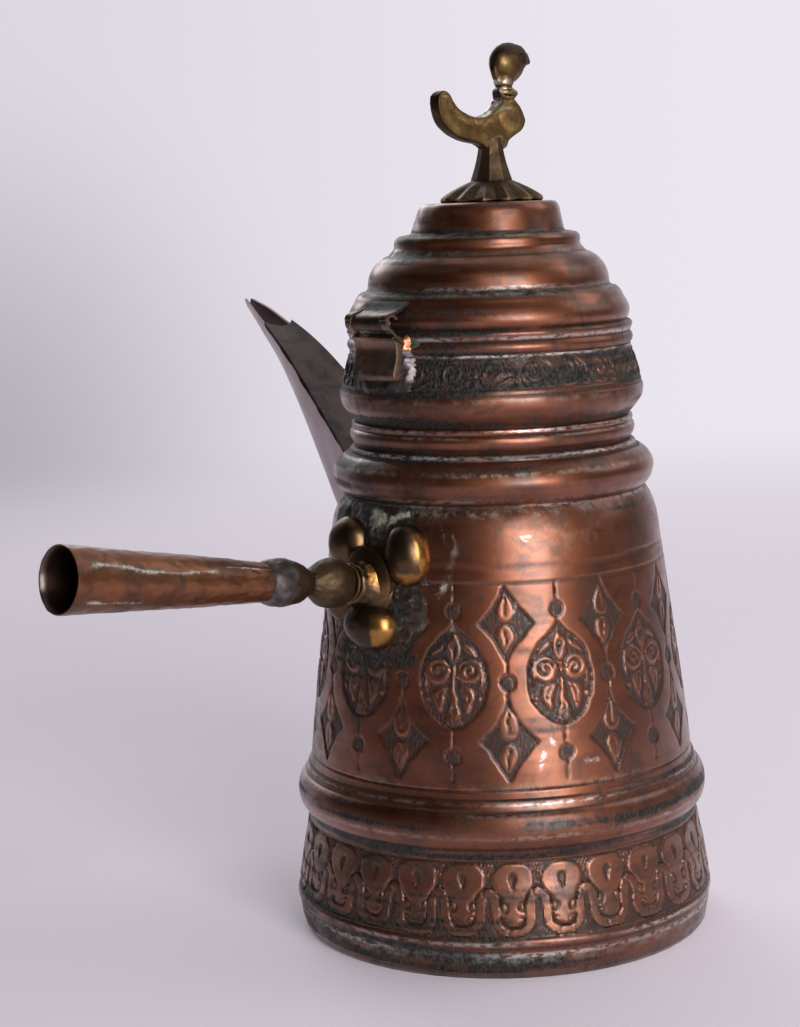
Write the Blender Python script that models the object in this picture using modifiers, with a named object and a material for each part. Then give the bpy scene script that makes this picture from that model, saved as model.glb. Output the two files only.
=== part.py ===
"""Side-handled copper coffee pot with a hinged lid: a dallah with a beak spout, a brass socket
handle and a cast bird on the lid. Metres, +Z up. The origin is the middle of the underside,
the spout points along -X, the handle and the lid hinge sit on the -Y side."""

import math

import bpy
import numpy as np

MM = 0.001

# Driving dimensions, millimetres
SHEET = 1.2
GAP = 0.3
SEGMENTS = 56
NECK_SLEEVE_R = 43.2
NECK_BORE_R = 42.2
BODY_SLEEVE_R = 60.9
HINGE_Y = -49.2
HINGE_Z = 194.9
PIN_R = 1.15
KNUCKLE_R = 2.7
KNUCKLE_BORE_R = 1.26
LEAF_HALF = 9.4
KNUCKLE_HALF = 6.6
HANDLE_Y = -53.0
HANDLE_Z = 115.9
HANDLE_RISE_DEG = 8.7
ROSETTE_TURN_DEG = 24.0
SPOUT_SHEET = 1.2
BIRD_THICK = 4.6
STRAINER_R = 2.6
FLUTES = 13

# Outer surfaces as (radius, height), from the top down
FOOT_OUTER = [
    (62.6, 35.8),
    (63.5, 30.5),
    (64.6, 25.2),
    (65.5, 19.9),
    (66.5, 14.5),
    (66.9, 11.9),
    (66.6, 9.2),
    (66.0, 6.5),
    (65.6, 4.1),
]
WAIST_OUTER = [
    (61.6, 53.8),
    (62.5, 51.6),
    (64.3, 49.0),
    (65.2, 46.4),
    (65.4, 43.7),
    (64.8, 41.1),
    (63.6, 38.4),
    (62.4, 36.1),
]
BODY_OUTER = [
    (47.8, 139.8),
    (49.7, 136.5),
    (51.3, 132.0),
    (52.9, 121.7),
    (55.8, 98.4),
    (59.2, 72.6),
    (61.2, 54.1),
]
SHOULDER_OUTER = [
    (44.9, 154.5),
    (46.1, 153.0),
    (47.9, 151.8),
    (50.1, 149.2),
    (50.8, 146.6),
    (50.4, 144.1),
    (49.2, 142.2),
    (47.6, 140.1),
]
NECK_BEAD_OUTER = [
    (43.9, 162.2),
    (44.5, 161.5),
    (44.9, 159.4),
    (44.4, 156.9),
    (43.9, 154.9),
]
NECK_OUTER = [
    (44.5, 184.6),
    (44.9, 183.0),
    (45.7, 180.8),
    (46.6, 177.2),
    (47.7, 173.3),
    (47.9, 171.0),
    (47.3, 168.2),
    (45.7, 165.7),
    (44.0, 163.3),
]
COLLAR_OUTER = [
    (44.5, 191.8),
    (45.0, 190.8),
    (44.4, 189.4),
    (44.4, 187.8),
    (45.0, 186.6),
    (44.5, 184.9),
]
LID_OUTER = [
    (18.8, 229.5),
    (20.6, 229.0),
    (21.9, 227.4),
    (22.9, 222.4),
    (24.0, 220.0),
    (25.6, 218.7),
    (29.0, 218.2),
    (30.6, 214.6),
    (32.2, 212.4),
    (36.2, 209.0),
    (38.2, 206.0),
    (39.1, 203.4),
    (40.0, 200.8),
    (42.3, 198.6),
    (43.6, 196.4),
    (44.0, 194.6),
    (43.5, 192.5),
]

# Side view of the cast bird as (y, height): back and tail, then head, breast and foot
BIRD_OUTLINE = [
    (-3.6, 246.4),
    (-6.4, 247.9),
    (-10.7, 248.7),
    (-14.9, 249.8),
    (-19.1, 252.0),
    (-21.9, 254.7),
    (-23.4, 258.0),
    (-23.7, 261.0),
    (-23.2, 263.1),
    (-21.4, 264.3),
    (-19.8, 264.1),
    (-18.4, 263.0),
    (-17.0, 260.7),
    (-14.6, 258.6),
    (-10.4, 256.8),
    (-6.1, 256.3),
    (-1.7, 257.4),
    (1.0, 259.3),
    (3.2, 262.1),
    (2.8, 264.6),
    (3.5, 266.1),
    (1.9, 269.7),
    (1.5, 272.2),
    (2.3, 275.3),
    (4.4, 278.0),
    (7.2, 279.6),
    (10.6, 279.4),
    (14.1, 277.6),
    (16.6, 273.4),
    (13.0, 272.1),
    (10.7, 269.9),
    (9.3, 267.1),
    (8.8, 265.9),
    (10.9, 263.7),
    (9.5, 261.9),
    (11.6, 259.4),
    (13.3, 256.6),
    (13.7, 254.8),
    (12.3, 252.3),
    (9.5, 250.7),
    (6.3, 248.9),
    (4.3, 246.4),
]

# Spout, as (distance from the pot axis, height)
KEEL = [
    (47.0, 98.0),
    (55.0, 103.5),
    (62.0, 109.0),
    (68.0, 116.0),
    (73.5, 124.5),
    (78.5, 134.0),
    (85.0, 146.4),
    (92.6, 160.0),
    (102.0, 173.6),
    (114.0, 187.2),
    (125.0, 198.6),
]
# Spout rim, as (distance from the pot axis, height, half width)
RIM = [
    (47.0, 143.0, 17.2),
    (58.0, 152.1, 14.8),
    (66.0, 158.7, 13.2),
    (74.0, 165.4, 11.6),
    (82.0, 172.1, 10.2),
    (90.0, 178.9, 9.0),
    (98.0, 184.8, 7.7),
    (106.0, 189.9, 6.0),
    (114.0, 194.8, 4.2),
    (120.0, 197.9, 2.7),
    (125.0, 200.3, 1.6),
]
COVER_FROM = 49.0
COVER_TO = 105.0

COLOURS = {
    "copper": (0.33, 0.11, 0.06, 1.0),
    "dark_copper": (0.12, 0.06, 0.045, 1.0),
    "brass": (0.42, 0.28, 0.10, 1.0),
    "dark_brass": (0.16, 0.11, 0.06, 1.0),
    "steel": (0.35, 0.34, 0.32, 1.0),
}


def clear_scene():
    for obj in list(bpy.data.objects):
        bpy.data.objects.remove(obj, do_unlink=True)


def new_collection(name, hidden):
    made = bpy.data.collections.new(name)
    bpy.context.scene.collection.children.link(made)
    made.hide_render = hidden
    return made


clear_scene()
PARTS = new_collection("side_handle_coffee_pot", False)
CUTTERS = new_collection("cutters", True)


def material(name, colour, metallic=1.0, roughness=0.4):
    made = bpy.data.materials.new(name)
    made.use_nodes = True
    shader = made.node_tree.nodes["Principled BSDF"]
    shader.inputs["Base Color"].default_value = COLOURS[colour]
    shader.inputs["Metallic"].default_value = metallic
    shader.inputs["Roughness"].default_value = roughness
    return made


def mesh_object(name, points, faces, colour):
    """An object from points in millimetres; with no colour it's a hidden cutter."""
    data = bpy.data.meshes.new(name)
    scaled = [tuple(float(c) * MM for c in p) for p in points]
    data.from_pydata(scaled, [], faces)
    data.update()
    obj = bpy.data.objects.new(name, data)
    if colour is None:
        CUTTERS.objects.link(obj)
        obj.hide_render = True
        obj.display_type = "WIRE"
    else:
        PARTS.objects.link(obj)
        data.materials.append(material(name + "_surface", colour))
    return obj


def edges_object(name, points, colour, closed):
    data = bpy.data.meshes.new(name)
    scaled = [tuple(float(c) * MM for c in p) for p in points]
    count = len(points)
    pairs = [(i, i + 1) for i in range(count - 1)]
    if closed:
        pairs.append((count - 1, 0))
    data.from_pydata(scaled, pairs, [])
    data.update()
    obj = bpy.data.objects.new(name, data)
    if colour is None:
        CUTTERS.objects.link(obj)
        obj.hide_render = True
        obj.display_type = "WIRE"
    else:
        PARTS.objects.link(obj)
        data.materials.append(material(name + "_surface", colour))
    return obj


def turned(name, profile, colour, steps=SEGMENTS, smooth=True):
    """A lathe-turned piece: (radius, height) running down the outer side, round to the start."""
    closed = profile[0][0] > 0.001
    points = [(r, 0.0, z) for r, z in profile]
    obj = edges_object(name, points, colour, closed)
    screw = obj.modifiers.new("turn", "SCREW")
    screw.axis = "Z"
    screw.angle = 2 * math.pi
    screw.steps = steps
    screw.render_steps = steps
    screw.use_merge_vertices = True
    screw.merge_threshold = 0.00001
    screw.use_smooth_shade = smooth
    return obj


def cut(obj, cutter, operation="DIFFERENCE"):
    boolean = obj.modifiers.new(cutter.name, "BOOLEAN")
    boolean.operation = operation
    boolean.object = cutter
    boolean.solver = "EXACT"
    return obj


def prism(name, outline, low, high, colour, axis="X"):
    """A closed outline pushed along an axis: (y, z) pairs along X, or (x, z) pairs along Y."""
    count = len(outline)
    area = 0.0
    for i in range(count):
        a = outline[i]
        b = outline[(i + 1) % count]
        area += a[0] * b[1] - b[0] * a[1]
    ring = list(outline) if area > 0 else list(reversed(outline))
    if axis == "X":
        points = [(low, a, b) for a, b in ring] + [(high, a, b) for a, b in ring]
    else:
        points = [(a, high, b) for a, b in ring] + [(a, low, b) for a, b in ring]
    faces = [tuple(reversed(range(count)))]
    faces.append(tuple(range(count, 2 * count)))
    for i in range(count):
        j = (i + 1) % count
        faces.append((i, j, count + j, count + i))
    return mesh_object(name, points, faces, colour)


def cylinder(name, centre, axis, radius, length, colour, sides=24):
    """A closed cylinder round a centre, along X, Y or Z."""
    points = []
    for end in (-0.5, 0.5):
        for i in range(sides):
            t = 2 * math.pi * (i + 0.5) / sides
            a = radius * math.cos(t)
            b = radius * math.sin(t)
            w = end * length
            at = {"X": (w, a, b), "Y": (b, w, a), "Z": (a, b, w)}[axis]
            points.append(tuple(c + d for c, d in zip(centre, at)))
    faces = [tuple(reversed(range(sides))), tuple(range(sides, 2 * sides))]
    for i in range(sides):
        j = (i + 1) % sides
        faces.append((i, j, sides + j, sides + i))
    return mesh_object(name, points, faces, colour)


def offset(profile, amount):
    """The profile moved sideways by an amount; positive goes away from the axis."""
    points = np.array(profile, float)
    ahead = np.gradient(points, axis=0)
    ahead /= np.linalg.norm(ahead, axis=1)[:, None]
    normal = np.stack([-ahead[:, 1], ahead[:, 0]], axis=1)
    moved = points + normal * amount
    return [tuple(p) for p in moved]


def place(obj, y, z, tilt_deg):
    """Turns a piece made along +Z so that it points out of the handle side, rising."""
    obj.location = (0.0, y * MM, z * MM)
    obj.rotation_euler = (math.radians(90.0 - tilt_deg), 0.0, 0.0)


def shell(outer, wall=SHEET):
    """The closed profile of a sheet piece: outer side down, inner side back up."""
    return list(outer) + list(reversed(offset(outer, -wall)))


# --- foot and body ---------------------------------------------------------------------


def make_foot():
    rim_in = 64.3
    turned(
        "base_disc",
        [(0, 1.2), (rim_in, 1.2), (rim_in, 3.8), (65.5, 3.8), (65.3, 1.1), (64.5, 0), (0, 0)],
        "dark_copper",
    )
    inner = [(r - SHEET, z) for r, z in reversed(FOOT_OUTER[1:])]
    ledge = [(62.2, 34.6), (59.7, 34.6), (59.7, 35.8)]
    turned("foot_skirt", FOOT_OUTER + inner + ledge, "copper")
    back = [(r, z) for r, z in reversed(offset(WAIST_OUTER[1:-1], -SHEET))]
    ends = [(61.25, 36.1), (61.25, 37.2)]
    top = [(61.25, 52.4), (61.25, 53.8)]
    turned("waist_bead", WAIST_OUTER + ends + back[1:-1] + top, "copper")


def make_body():
    sleeve = [(BODY_SLEEVE_R, 53.7), (BODY_SLEEVE_R, 36.1)]
    inner = [
        (59.7, 36.1),
        (59.9, 54.0),
        (57.9, 72.6),
        (54.6, 98.4),
        (51.7, 121.7),
        (50.1, 131.5),
        (48.4, 136.0),
        (47.0, 138.6),
        (43.5, 138.6),
        (43.5, 139.8),
    ]
    body = turned("body_shell", BODY_OUTER + sleeve + inner, "copper")
    holes = [(0, 112)] + [(s * 7.0, 118) for s in (-1, 1)]
    holes += [(0, 122.5)] + [(s * 7.5, 128.5) for s in (-1, 1)] + [(0, 132.5)]
    for i, (y, z) in enumerate(holes):
        hole = cylinder(f"strainer_hole_{i}", (-53, y, z), "X", STRAINER_R, 14, None, 12)
        cut(body, hole)
    back = offset(SHOULDER_OUTER[1:-1], -SHEET)
    back = [(r, z) for r, z in reversed(back)]
    ends = [(43.5, 140.1), (43.5, 141.3)]
    top = [(43.5, 153.2), (43.5, 154.5)]
    turned("shoulder_bead", SHOULDER_OUTER + ends + back[1:-1] + top, "copper")


# --- neck ------------------------------------------------------------------------------


def make_neck():
    turned(
        "neck_bead",
        NECK_BEAD_OUTER + [(43.5, 154.9), (43.5, 162.2)],
        "copper",
    )
    top = [(43.6, 191.8), (43.6, 184.9)]
    sleeve = [(NECK_SLEEVE_R, 162.5), (NECK_SLEEVE_R, 137.0)]
    inner = [
        (42.0, 137.0),
        (42.2, 162.9),
        (44.2, 166.2),
        (46.1, 168.8),
        (46.7, 171.2),
        (46.4, 173.3),
        (44.6, 180.3),
        (43.4, 183.6),
        (NECK_BORE_R, 185.0),
        (NECK_BORE_R, 191.8),
    ]
    turned("neck_shell", top + NECK_OUTER + sleeve + inner, "copper")
    turned("neck_collar", COLLAR_OUTER + [(43.9, 184.9), (43.9, 191.8)], "copper")


# --- spout -----------------------------------------------------------------------------


def along(table, at):
    rows = np.array(table, float)
    return [float(np.interp(at, rows[:, 0], rows[:, i])) for i in range(1, rows.shape[1])]


def spout_section(at, inward):
    """Half of a cross-section: points from the keel up to the rim, moved in by the sheet."""
    (keel,) = along(KEEL, at)
    rim, half = along(RIM, at)
    low = keel + inward * 1.5
    wide = max(half - inward, 0.35)
    heights = np.linspace(0.0, 1.0, 7)
    return [(wide * t**0.62, low + (rim - low) * t) for t in heights]


def make_spout(body_cutter):
    stations = [47, 51, 55, 60, 65, 70, 75, 80, 86, 92, 98, 104, 110, 116, 120.5]
    points = []
    for at in stations:
        outer = spout_section(at, 0.0)
        inner = spout_section(at, SPOUT_SHEET)
        ring = [(-at, -y, z) for y, z in reversed(outer[1:])]
        ring += [(-at, y, z) for y, z in outer]
        ring += [(-at, y, z) for y, z in reversed(inner)]
        ring += [(-at, -y, z) for y, z in inner[1:]]
        points += ring
    count = len(points) // len(stations)
    faces = [tuple(range(count))]
    last = (len(stations) - 1) * count
    for k in range(len(stations) - 1):
        for i in range(count):
            j = (i + 1) % count
            a = k * count
            faces.append((a + j, a + i, a + count + i, a + count + j))
    faces.append(tuple(reversed(range(last, last + count))))
    trough = mesh_object("spout_trough", points, faces, "dark_copper")
    cut(trough, body_cutter)
    return trough


def make_cover(body_cutter):
    """The plate soldered over the inner two thirds of the beak, its front edge hollowed."""
    thick = 1.1
    stations = np.linspace(COVER_FROM, COVER_TO, 9)
    lanes = np.linspace(-1.0, 1.0, 7)
    points = []
    for level in (GAP, GAP + thick):
        for i, at in enumerate(stations):
            for lane in lanes:
                pull = 7.0 * (1 - lane**2) * (i / (len(stations) - 1)) ** 3
                here = at - pull
                rim, half = along(RIM, here)
                points.append((-here, lane * half, rim + level))
    rows, columns = len(stations), len(lanes)
    size = rows * columns
    faces = []
    for i in range(rows - 1):
        for j in range(columns - 1):
            a = i * columns + j
            quad = (a, a + 1, a + columns + 1, a + columns)
            faces.append(quad)
            faces.append(tuple(size + v for v in reversed(quad)))
    border = [j for j in range(columns)]
    border += [i * columns + columns - 1 for i in range(1, rows)]
    border += [(rows - 1) * columns + j for j in range(columns - 2, -1, -1)]
    border += [i * columns for i in range(rows - 2, 0, -1)]
    for i, a in enumerate(border):
        b = border[(i + 1) % len(border)]
        faces.append((b, a, size + a, size + b))
    cover = mesh_object("spout_cover", points, faces, "dark_copper")
    cut(cover, body_cutter)
    return cover


# --- handle ----------------------------------------------------------------------------


def dome(name, centre, radii, tilt_deg, colour, rings=7, sides=22):
    """An egg-shaped lump on the handle side, turned about the Y axis."""
    points = [(0.0, -1.0, 0.0)]
    for i in range(1, rings):
        p = math.pi * i / rings
        for j in range(sides):
            t = 2 * math.pi * j / sides
            points.append((math.sin(p) * math.cos(t), -math.cos(p), math.sin(p) * math.sin(t)))
    points.append((0.0, 1.0, 0.0))
    faces = []
    for j in range(sides):
        k = (j + 1) % sides
        faces.append((0, 1 + j, 1 + k))
        for i in range(rings - 2):
            a = 1 + i * sides
            faces.append((a + j, a + sides + j, a + sides + k, a + k))
        a = 1 + (rings - 2) * sides
        faces.append((a + j, len(points) - 1, a + k))
    turn = math.radians(tilt_deg)
    moved = []
    for x, y, z in points:
        x, y, z = x * radii[0], y * radii[1], z * radii[2]
        u = x * math.cos(turn) - z * math.sin(turn)
        v = x * math.sin(turn) + z * math.cos(turn)
        moved.append((centre[0] + u, centre[1] + y, centre[2] + v))
    return mesh_object(name, moved, faces, colour)


def make_rosette(body_cutter):
    middle_z = HANDLE_Z + 1.2
    rosette = cylinder(
        "handle_rosette", (0, -52.0, middle_z), "Y", 9.6, 9.2, "brass", 28
    )
    for i in range(4):
        a = math.radians(ROSETTE_TURN_DEG + 90.0 * i)
        x = 13.4 * math.cos(a)
        z = 13.4 * math.sin(a)
        lower = 0.115 * z
        fall = 55.2 - math.sqrt(55.2**2 - x**2)
        centre = (x, -53.0 + lower + fall, middle_z + z)
        lobe = dome(f"lobe_{i}", centre, (8.9, 6.6, 7.4), ROSETTE_TURN_DEG + 90 * i + 90, None)
        cut(rosette, lobe, "UNION")
    cut(rosette, body_cutter)
    return rosette


def make_handle():
    boss = turned(
        "handle_boss",
        [(0, 8.0), (6.3, 8.0), (7.0, 7.4), (7.6, 5.6), (0, 5.6)],
        "dark_brass",
        32,
    )
    place(boss, HANDLE_Y, HANDLE_Z, HANDLE_RISE_DEG)
    washer = turned(
        "handle_washer",
        [(0, 9.2), (5.6, 9.2), (5.8, 8.8), (5.6, 8.3), (0, 8.3)],
        "copper",
        32,
    )
    place(washer, HANDLE_Y, HANDLE_Z, HANDLE_RISE_DEG)
    baluster = turned(
        "handle_baluster",
        [
            (0, 37.0),
            (4.6, 37.0),
            (4.6, 34.6),
            (6.9, 34.6),
            (6.6, 32.0),
            (5.5, 28.6),
            (4.2, 26.0),
            (3.5, 24.2),
            (3.9, 22.8),
            (5.8, 20.6),
            (7.2, 17.6),
            (7.5, 15.2),
            (7.1, 12.6),
            (6.0, 10.6),
            (5.1, 9.5),
            (0, 9.5),
        ],
        "brass",
        32,
    )
    place(baluster, HANDLE_Y, HANDLE_Z, HANDLE_RISE_DEG)
    ferrule = turned(
        "handle_ferrule",
        [
            (6.2, 41.6),
            (6.8, 40.0),
            (7.1, 37.4),
            (7.0, 34.9),
            (4.9, 34.9),
            (4.9, 38.0),
            (6.1, 38.3),
        ],
        "steel",
        32,
    )
    place(ferrule, HANDLE_Y, HANDLE_Z, HANDLE_RISE_DEG)
    tube = turned(
        "handle_tube",
        [
            (9.6, 113.0),
            (9.7, 112.4),
            (8.5, 90.0),
            (7.2, 64.0),
            (5.8, 42.5),
            (5.8, 38.6),
            (4.9, 38.6),
            (4.9, 42.8),
            (6.3, 64.2),
            (7.6, 90.2),
            (8.8, 113.0),
        ],
        "copper",
        40,
    )
    place(tube, HANDLE_Y, HANDLE_Z, HANDLE_RISE_DEG)


# --- lid -------------------------------------------------------------------------------


def make_lid():
    inner = [
        (42.3, 192.5),
        (42.7, 194.8),
        (42.4, 196.1),
        (41.2, 198.0),
        (38.9, 200.2),
        (37.9, 203.0),
        (37.0, 205.5),
        (35.2, 208.2),
        (31.2, 211.6),
        (29.5, 214.1),
        (28.0, 217.0),
        (24.9, 217.5),
        (23.0, 219.2),
        (21.7, 222.0),
        (20.8, 226.9),
        (19.9, 228.1),
        (18.8, 228.3),
        (2.4, 228.3),
        (2.4, 229.5),
    ]
    turned("lid_shell", LID_OUTER + inner, "copper")
    turned(
        "lid_flange",
        [(41.5, 197.2), (41.5, 186.6), (40.5, 186.6), (40.5, 197.2)],
        "dark_copper",
    )


def make_body_leaf(neck_cutter):
    outline = [
        (-46.0, 176.4),
        (-49.6, 176.6),
        (-50.2, 178.2),
        (-48.6, 182.4),
        (-47.4, 186.2),
        (-48.4, 189.6),
        (-50.8, 192.2),
        (-50.0, 193.8),
        (-48.4, 193.8),
        (-47.2, 192.2),
        (-45.0, 191.2),
        (-43.0, 190.0),
        (-43.0, 177.0),
    ]
    leaf = prism("hinge_body_leaf", outline, -LEAF_HALF, LEAF_HALF, "copper")
    middle = (0.0, HINGE_Y, HINGE_Z)
    bar = cylinder("leaf_bar", middle, "X", KNUCKLE_R, 2 * LEAF_HALF, None, 20)
    cut(leaf, bar, "UNION")
    cut(leaf, neck_cutter)
    slot = [(-56, 191.4), (-40, 191.4), (-40, 201), (-56, 201)]
    cut(leaf, prism("leaf_slot", slot, -KNUCKLE_HALF, KNUCKLE_HALF, None))
    bore = cylinder("leaf_bore", middle, "X", KNUCKLE_BORE_R, 40, None, 20)
    cut(leaf, bore)
    return leaf


def make_lid_leaf(lid_cutter):
    outline = [
        (-50.6, 196.6),
        (-50.0, 197.9),
        (-48.2, 199.0),
        (-45.4, 200.4),
        (-43.0, 202.2),
        (-41.2, 203.4),
        (-39.0, 202.0),
        (-42.0, 198.0),
        (-45.8, 197.9),
        (-48.0, 196.4),
    ]
    leaf = prism("hinge_lid_leaf", outline, -LEAF_HALF + 0.8, LEAF_HALF - 0.8, "copper")
    side = [(-60, 188), (-46.2, 188), (-46.2, 198.0), (-47.0, 198.2), (-60, 198.2)]
    low = KNUCKLE_HALF - GAP
    for sign in (-1, 1):
        ends = sorted((sign * low, sign * 14.0))
        cut(leaf, prism(f"lid_leaf_side_{sign + 1}", side, ends[0], ends[1], None))
    middle = (0.0, HINGE_Y, HINGE_Z)
    bar = cylinder("lid_leaf_bar", middle, "X", KNUCKLE_R, 2 * low, None, 20)
    cut(leaf, bar, "UNION")
    cut(leaf, lid_cutter)
    bore = cylinder("lid_leaf_bore", middle, "X", KNUCKLE_BORE_R, 40, None, 20)
    cut(leaf, bore)
    return leaf


# --- finial ----------------------------------------------------------------------------


def make_finial_base():
    levels = [(1.5, 236.0, 0.0), (6.6, 236.0, 0.05), (9.2, 234.6, 0.4), (12.6, 232.6, 0.8)]
    levels += [(15.6, 230.8, 1.0), (15.7, 229.8, 1.0), (1.5, 229.8, 0.0)]
    sides = FLUTES * 4
    points = []
    for radius, height, flute in levels:
        for i in range(sides):
            t = 2 * math.pi * i / sides
            wave = math.cos(FLUTES * t) * 0.55 * flute
            r = radius + wave
            lift = wave * 0.5 if height > 230.0 else 0.0
            points.append((r * math.cos(t), r * math.sin(t), height + lift))
    faces = []
    for k in range(len(levels)):
        n = (k + 1) % len(levels)
        for i in range(sides):
            j = (i + 1) % sides
            a = k * sides
            b = n * sides
            faces.append((a + j, a + i, b + i, b + j))
    return mesh_object("finial_base", points, faces, "dark_brass")


def make_bird():
    half = BIRD_THICK / 2
    bird = prism("finial_bird", BIRD_OUTLINE, -half, half, "brass")
    bevel = bird.modifiers.new("cast_edge", "BEVEL")
    bevel.width = 0.0005
    bevel.segments = 1
    bevel.limit_method = "ANGLE"
    bevel.angle_limit = math.radians(60)
    stem = turned(
        "bird_stem",
        [(0, 250.0), (3.0, 250.0), (3.6, 246.4), (4.1, 243.0), (5.6, 239.0), (6.4, 236.3), (0, 236.3)],
        None,
        24,
    )
    cut(bird, stem, "UNION")
    return bird


def make_rivet():
    """Holds the finial to the lid: a headed shank, burred over on the inside."""
    turned(
        "finial_rivet",
        [(0, 235.6), (1.1, 235.6), (1.1, 228.0), (4.2, 228.0), (3.6, 226.6), (0, 226.2)],
        "dark_brass",
        20,
    )


# --- build -----------------------------------------------------------------------------


def cutter_turned(name, outer):
    """A solid turned cutter that clears an outer surface by the gap."""
    rows = offset(outer, GAP)
    return turned(name, [(0, rows[0][1])] + rows + [(0, rows[-1][1])], None)


def build():
    make_foot()
    make_body()
    make_neck()
    below = SHOULDER_OUTER + BODY_OUTER
    body_cutter = cutter_turned("clear_of_body", below)
    neck_cutter = cutter_turned("clear_of_neck", COLLAR_OUTER + NECK_OUTER)
    lid_cutter = cutter_turned("clear_of_lid", LID_OUTER)
    make_spout(body_cutter)
    make_cover(body_cutter)
    make_rosette(body_cutter)
    make_handle()
    make_lid()
    make_body_leaf(neck_cutter)
    make_lid_leaf(lid_cutter)
    cylinder(
        "hinge_pin", (-0.4, HINGE_Y, HINGE_Z), "X", PIN_R, 2 * LEAF_HALF + 1.6, "steel", 20
    )
    make_finial_base()
    make_bird()
    make_rivet()


build()
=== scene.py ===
"""Looks of the side-handled copper coffee pot: chased and patinated copper on the CAD frame.

Lengths are millimetres until a mesh is made. Angles round the pot are degrees from the handle
side (-Y), turning towards +X. A point on a turned piece is (r sin a, -r cos a, z)."""

import math

import bpy
import numpy as np
from mathutils import Matrix, Vector


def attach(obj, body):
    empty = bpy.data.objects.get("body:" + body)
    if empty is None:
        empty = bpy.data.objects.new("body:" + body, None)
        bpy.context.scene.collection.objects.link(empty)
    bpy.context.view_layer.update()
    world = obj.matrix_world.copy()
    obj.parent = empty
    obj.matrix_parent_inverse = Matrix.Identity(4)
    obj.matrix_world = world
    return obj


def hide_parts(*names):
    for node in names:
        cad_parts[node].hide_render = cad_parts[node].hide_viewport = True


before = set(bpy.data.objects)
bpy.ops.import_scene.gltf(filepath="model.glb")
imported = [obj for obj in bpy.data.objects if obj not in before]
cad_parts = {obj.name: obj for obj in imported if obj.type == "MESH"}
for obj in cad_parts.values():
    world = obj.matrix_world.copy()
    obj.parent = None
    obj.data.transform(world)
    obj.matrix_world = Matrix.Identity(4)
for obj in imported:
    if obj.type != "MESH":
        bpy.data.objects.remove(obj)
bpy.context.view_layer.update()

MM = 0.001
CUTS = ("cut", "ground", "wear_and_glint", "tin", "pale", "soot_and_shade")
HINGE_Y, HINGE_Z = -49.2, 194.9
HANDLE_Y, HANDLE_Z, HANDLE_RISE = -53.0, 115.9, 8.7
MEDALLIONS, FOOT_LOBES, SCROLLS = 11, 27, 24
BODY_R, FOOT_R, NECK_R = 57.4, 65.4, 46.0
ROSETTE_R, HINGE_R = 54.5, 45.0
CAMERA_RIGHT = (0.669, 0.743)

# Outer surfaces as runs of (radius, height), from the top down; runs meet in a corner
LID = [
    [(2.0, 229.7), (10.0, 229.7), (19.2, 229.6)],
    [(19.2, 229.6), (20.9, 229.2), (22.1, 227.6), (23.0, 224.6), (24.0, 221.2)],
    [(24.0, 221.2), (24.6, 220.3), (26.2, 220.0), (27.9, 219.7)],
    [(27.9, 219.7), (28.9, 218.9), (29.3, 217.6), (29.3, 216.2), (30.2, 214.8), (31.2, 213.9)],
    [(31.2, 213.9), (32.9, 213.1), (34.8, 211.7), (36.8, 209.1), (37.8, 206.3), (38.1, 203.9)],
    [(38.1, 203.9), (38.9, 203.0), (40.3, 202.6)],
    [(40.3, 202.6), (41.6, 201.3), (42.3, 199.9), (43.4, 198.0), (44.2, 195.9), (44.1, 194.0), (43.3, 192.3)],
    [(43.3, 192.3), (42.4, 191.9)],
]
COLLAR = [
    [(43.2, 192.4), (44.5, 191.8), (45.0, 190.8), (44.6, 189.6), (44.25, 188.7)],
    [(44.25, 188.7), (44.7, 188.0), (45.1, 186.9), (44.8, 185.7), (44.0, 184.7)],
]
NECK = [
    [(43.9, 185.0), (44.5, 184.6), (44.9, 183.0), (45.7, 180.2), (46.5, 177.2), (47.3, 173.6)],
    [(47.3, 173.6), (47.8, 172.2), (47.9, 170.8), (47.5, 168.4), (46.0, 165.9), (43.8, 163.3)],
    [(43.8, 163.3), (43.2, 162.4)],
]
NECK_BEAD = [
    [(43.4, 162.9), (44.3, 162.4), (44.5, 161.4), (44.1, 160.6)],
    [(44.1, 160.6), (44.8, 159.8), (45.0, 158.6), (44.6, 157.0), (43.7, 155.6), (43.2, 154.6)],
]
SHOULDER = [
    [(43.2, 155.0), (44.6, 154.7), (45.3, 153.9), (45.6, 153.2)],
    [(45.6, 153.2), (47.2, 152.3), (49.1, 150.7), (50.5, 148.3), (50.8, 146.2), (50.2, 143.6)],
    [(50.2, 143.6), (49.3, 142.0), (47.9, 140.4), (46.9, 139.7)],
]
BODY = [
    [(47.4, 140.3), (48.3, 139.0), (49.8, 136.4), (51.4, 131.8), (52.3, 126.0), (53.1, 120.4)],
    [(53.1, 120.4), (55.8, 98.4), (59.2, 72.6), (61.1, 55.4), (61.5, 53.2)],
]
WAIST = [
    [(61.2, 54.3), (61.9, 53.7), (62.5, 52.0), (63.0, 50.8)],
    [(63.0, 50.8), (64.3, 49.4), (65.2, 47.0), (65.5, 44.2), (65.0, 41.5), (63.9, 39.4)],
    [(63.9, 39.4), (63.2, 38.6), (62.8, 37.4), (62.3, 35.9)],
]
FOOT = [
    [(62.2, 36.2), (62.7, 35.4), (63.5, 30.5), (64.6, 25.2), (65.5, 19.9), (66.4, 14.6), (66.6, 12.8)],
    [(66.6, 12.8), (66.9, 11.4), (66.8, 9.7)],
    [(66.8, 9.7), (66.3, 8.6), (66.2, 6.6), (65.8, 4.2), (65.2, 2.2), (64.3, 0.5), (63.2, 0.1)],
]


# --- numbers: curves, unevenness, patterns ---------------------------------------------


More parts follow.
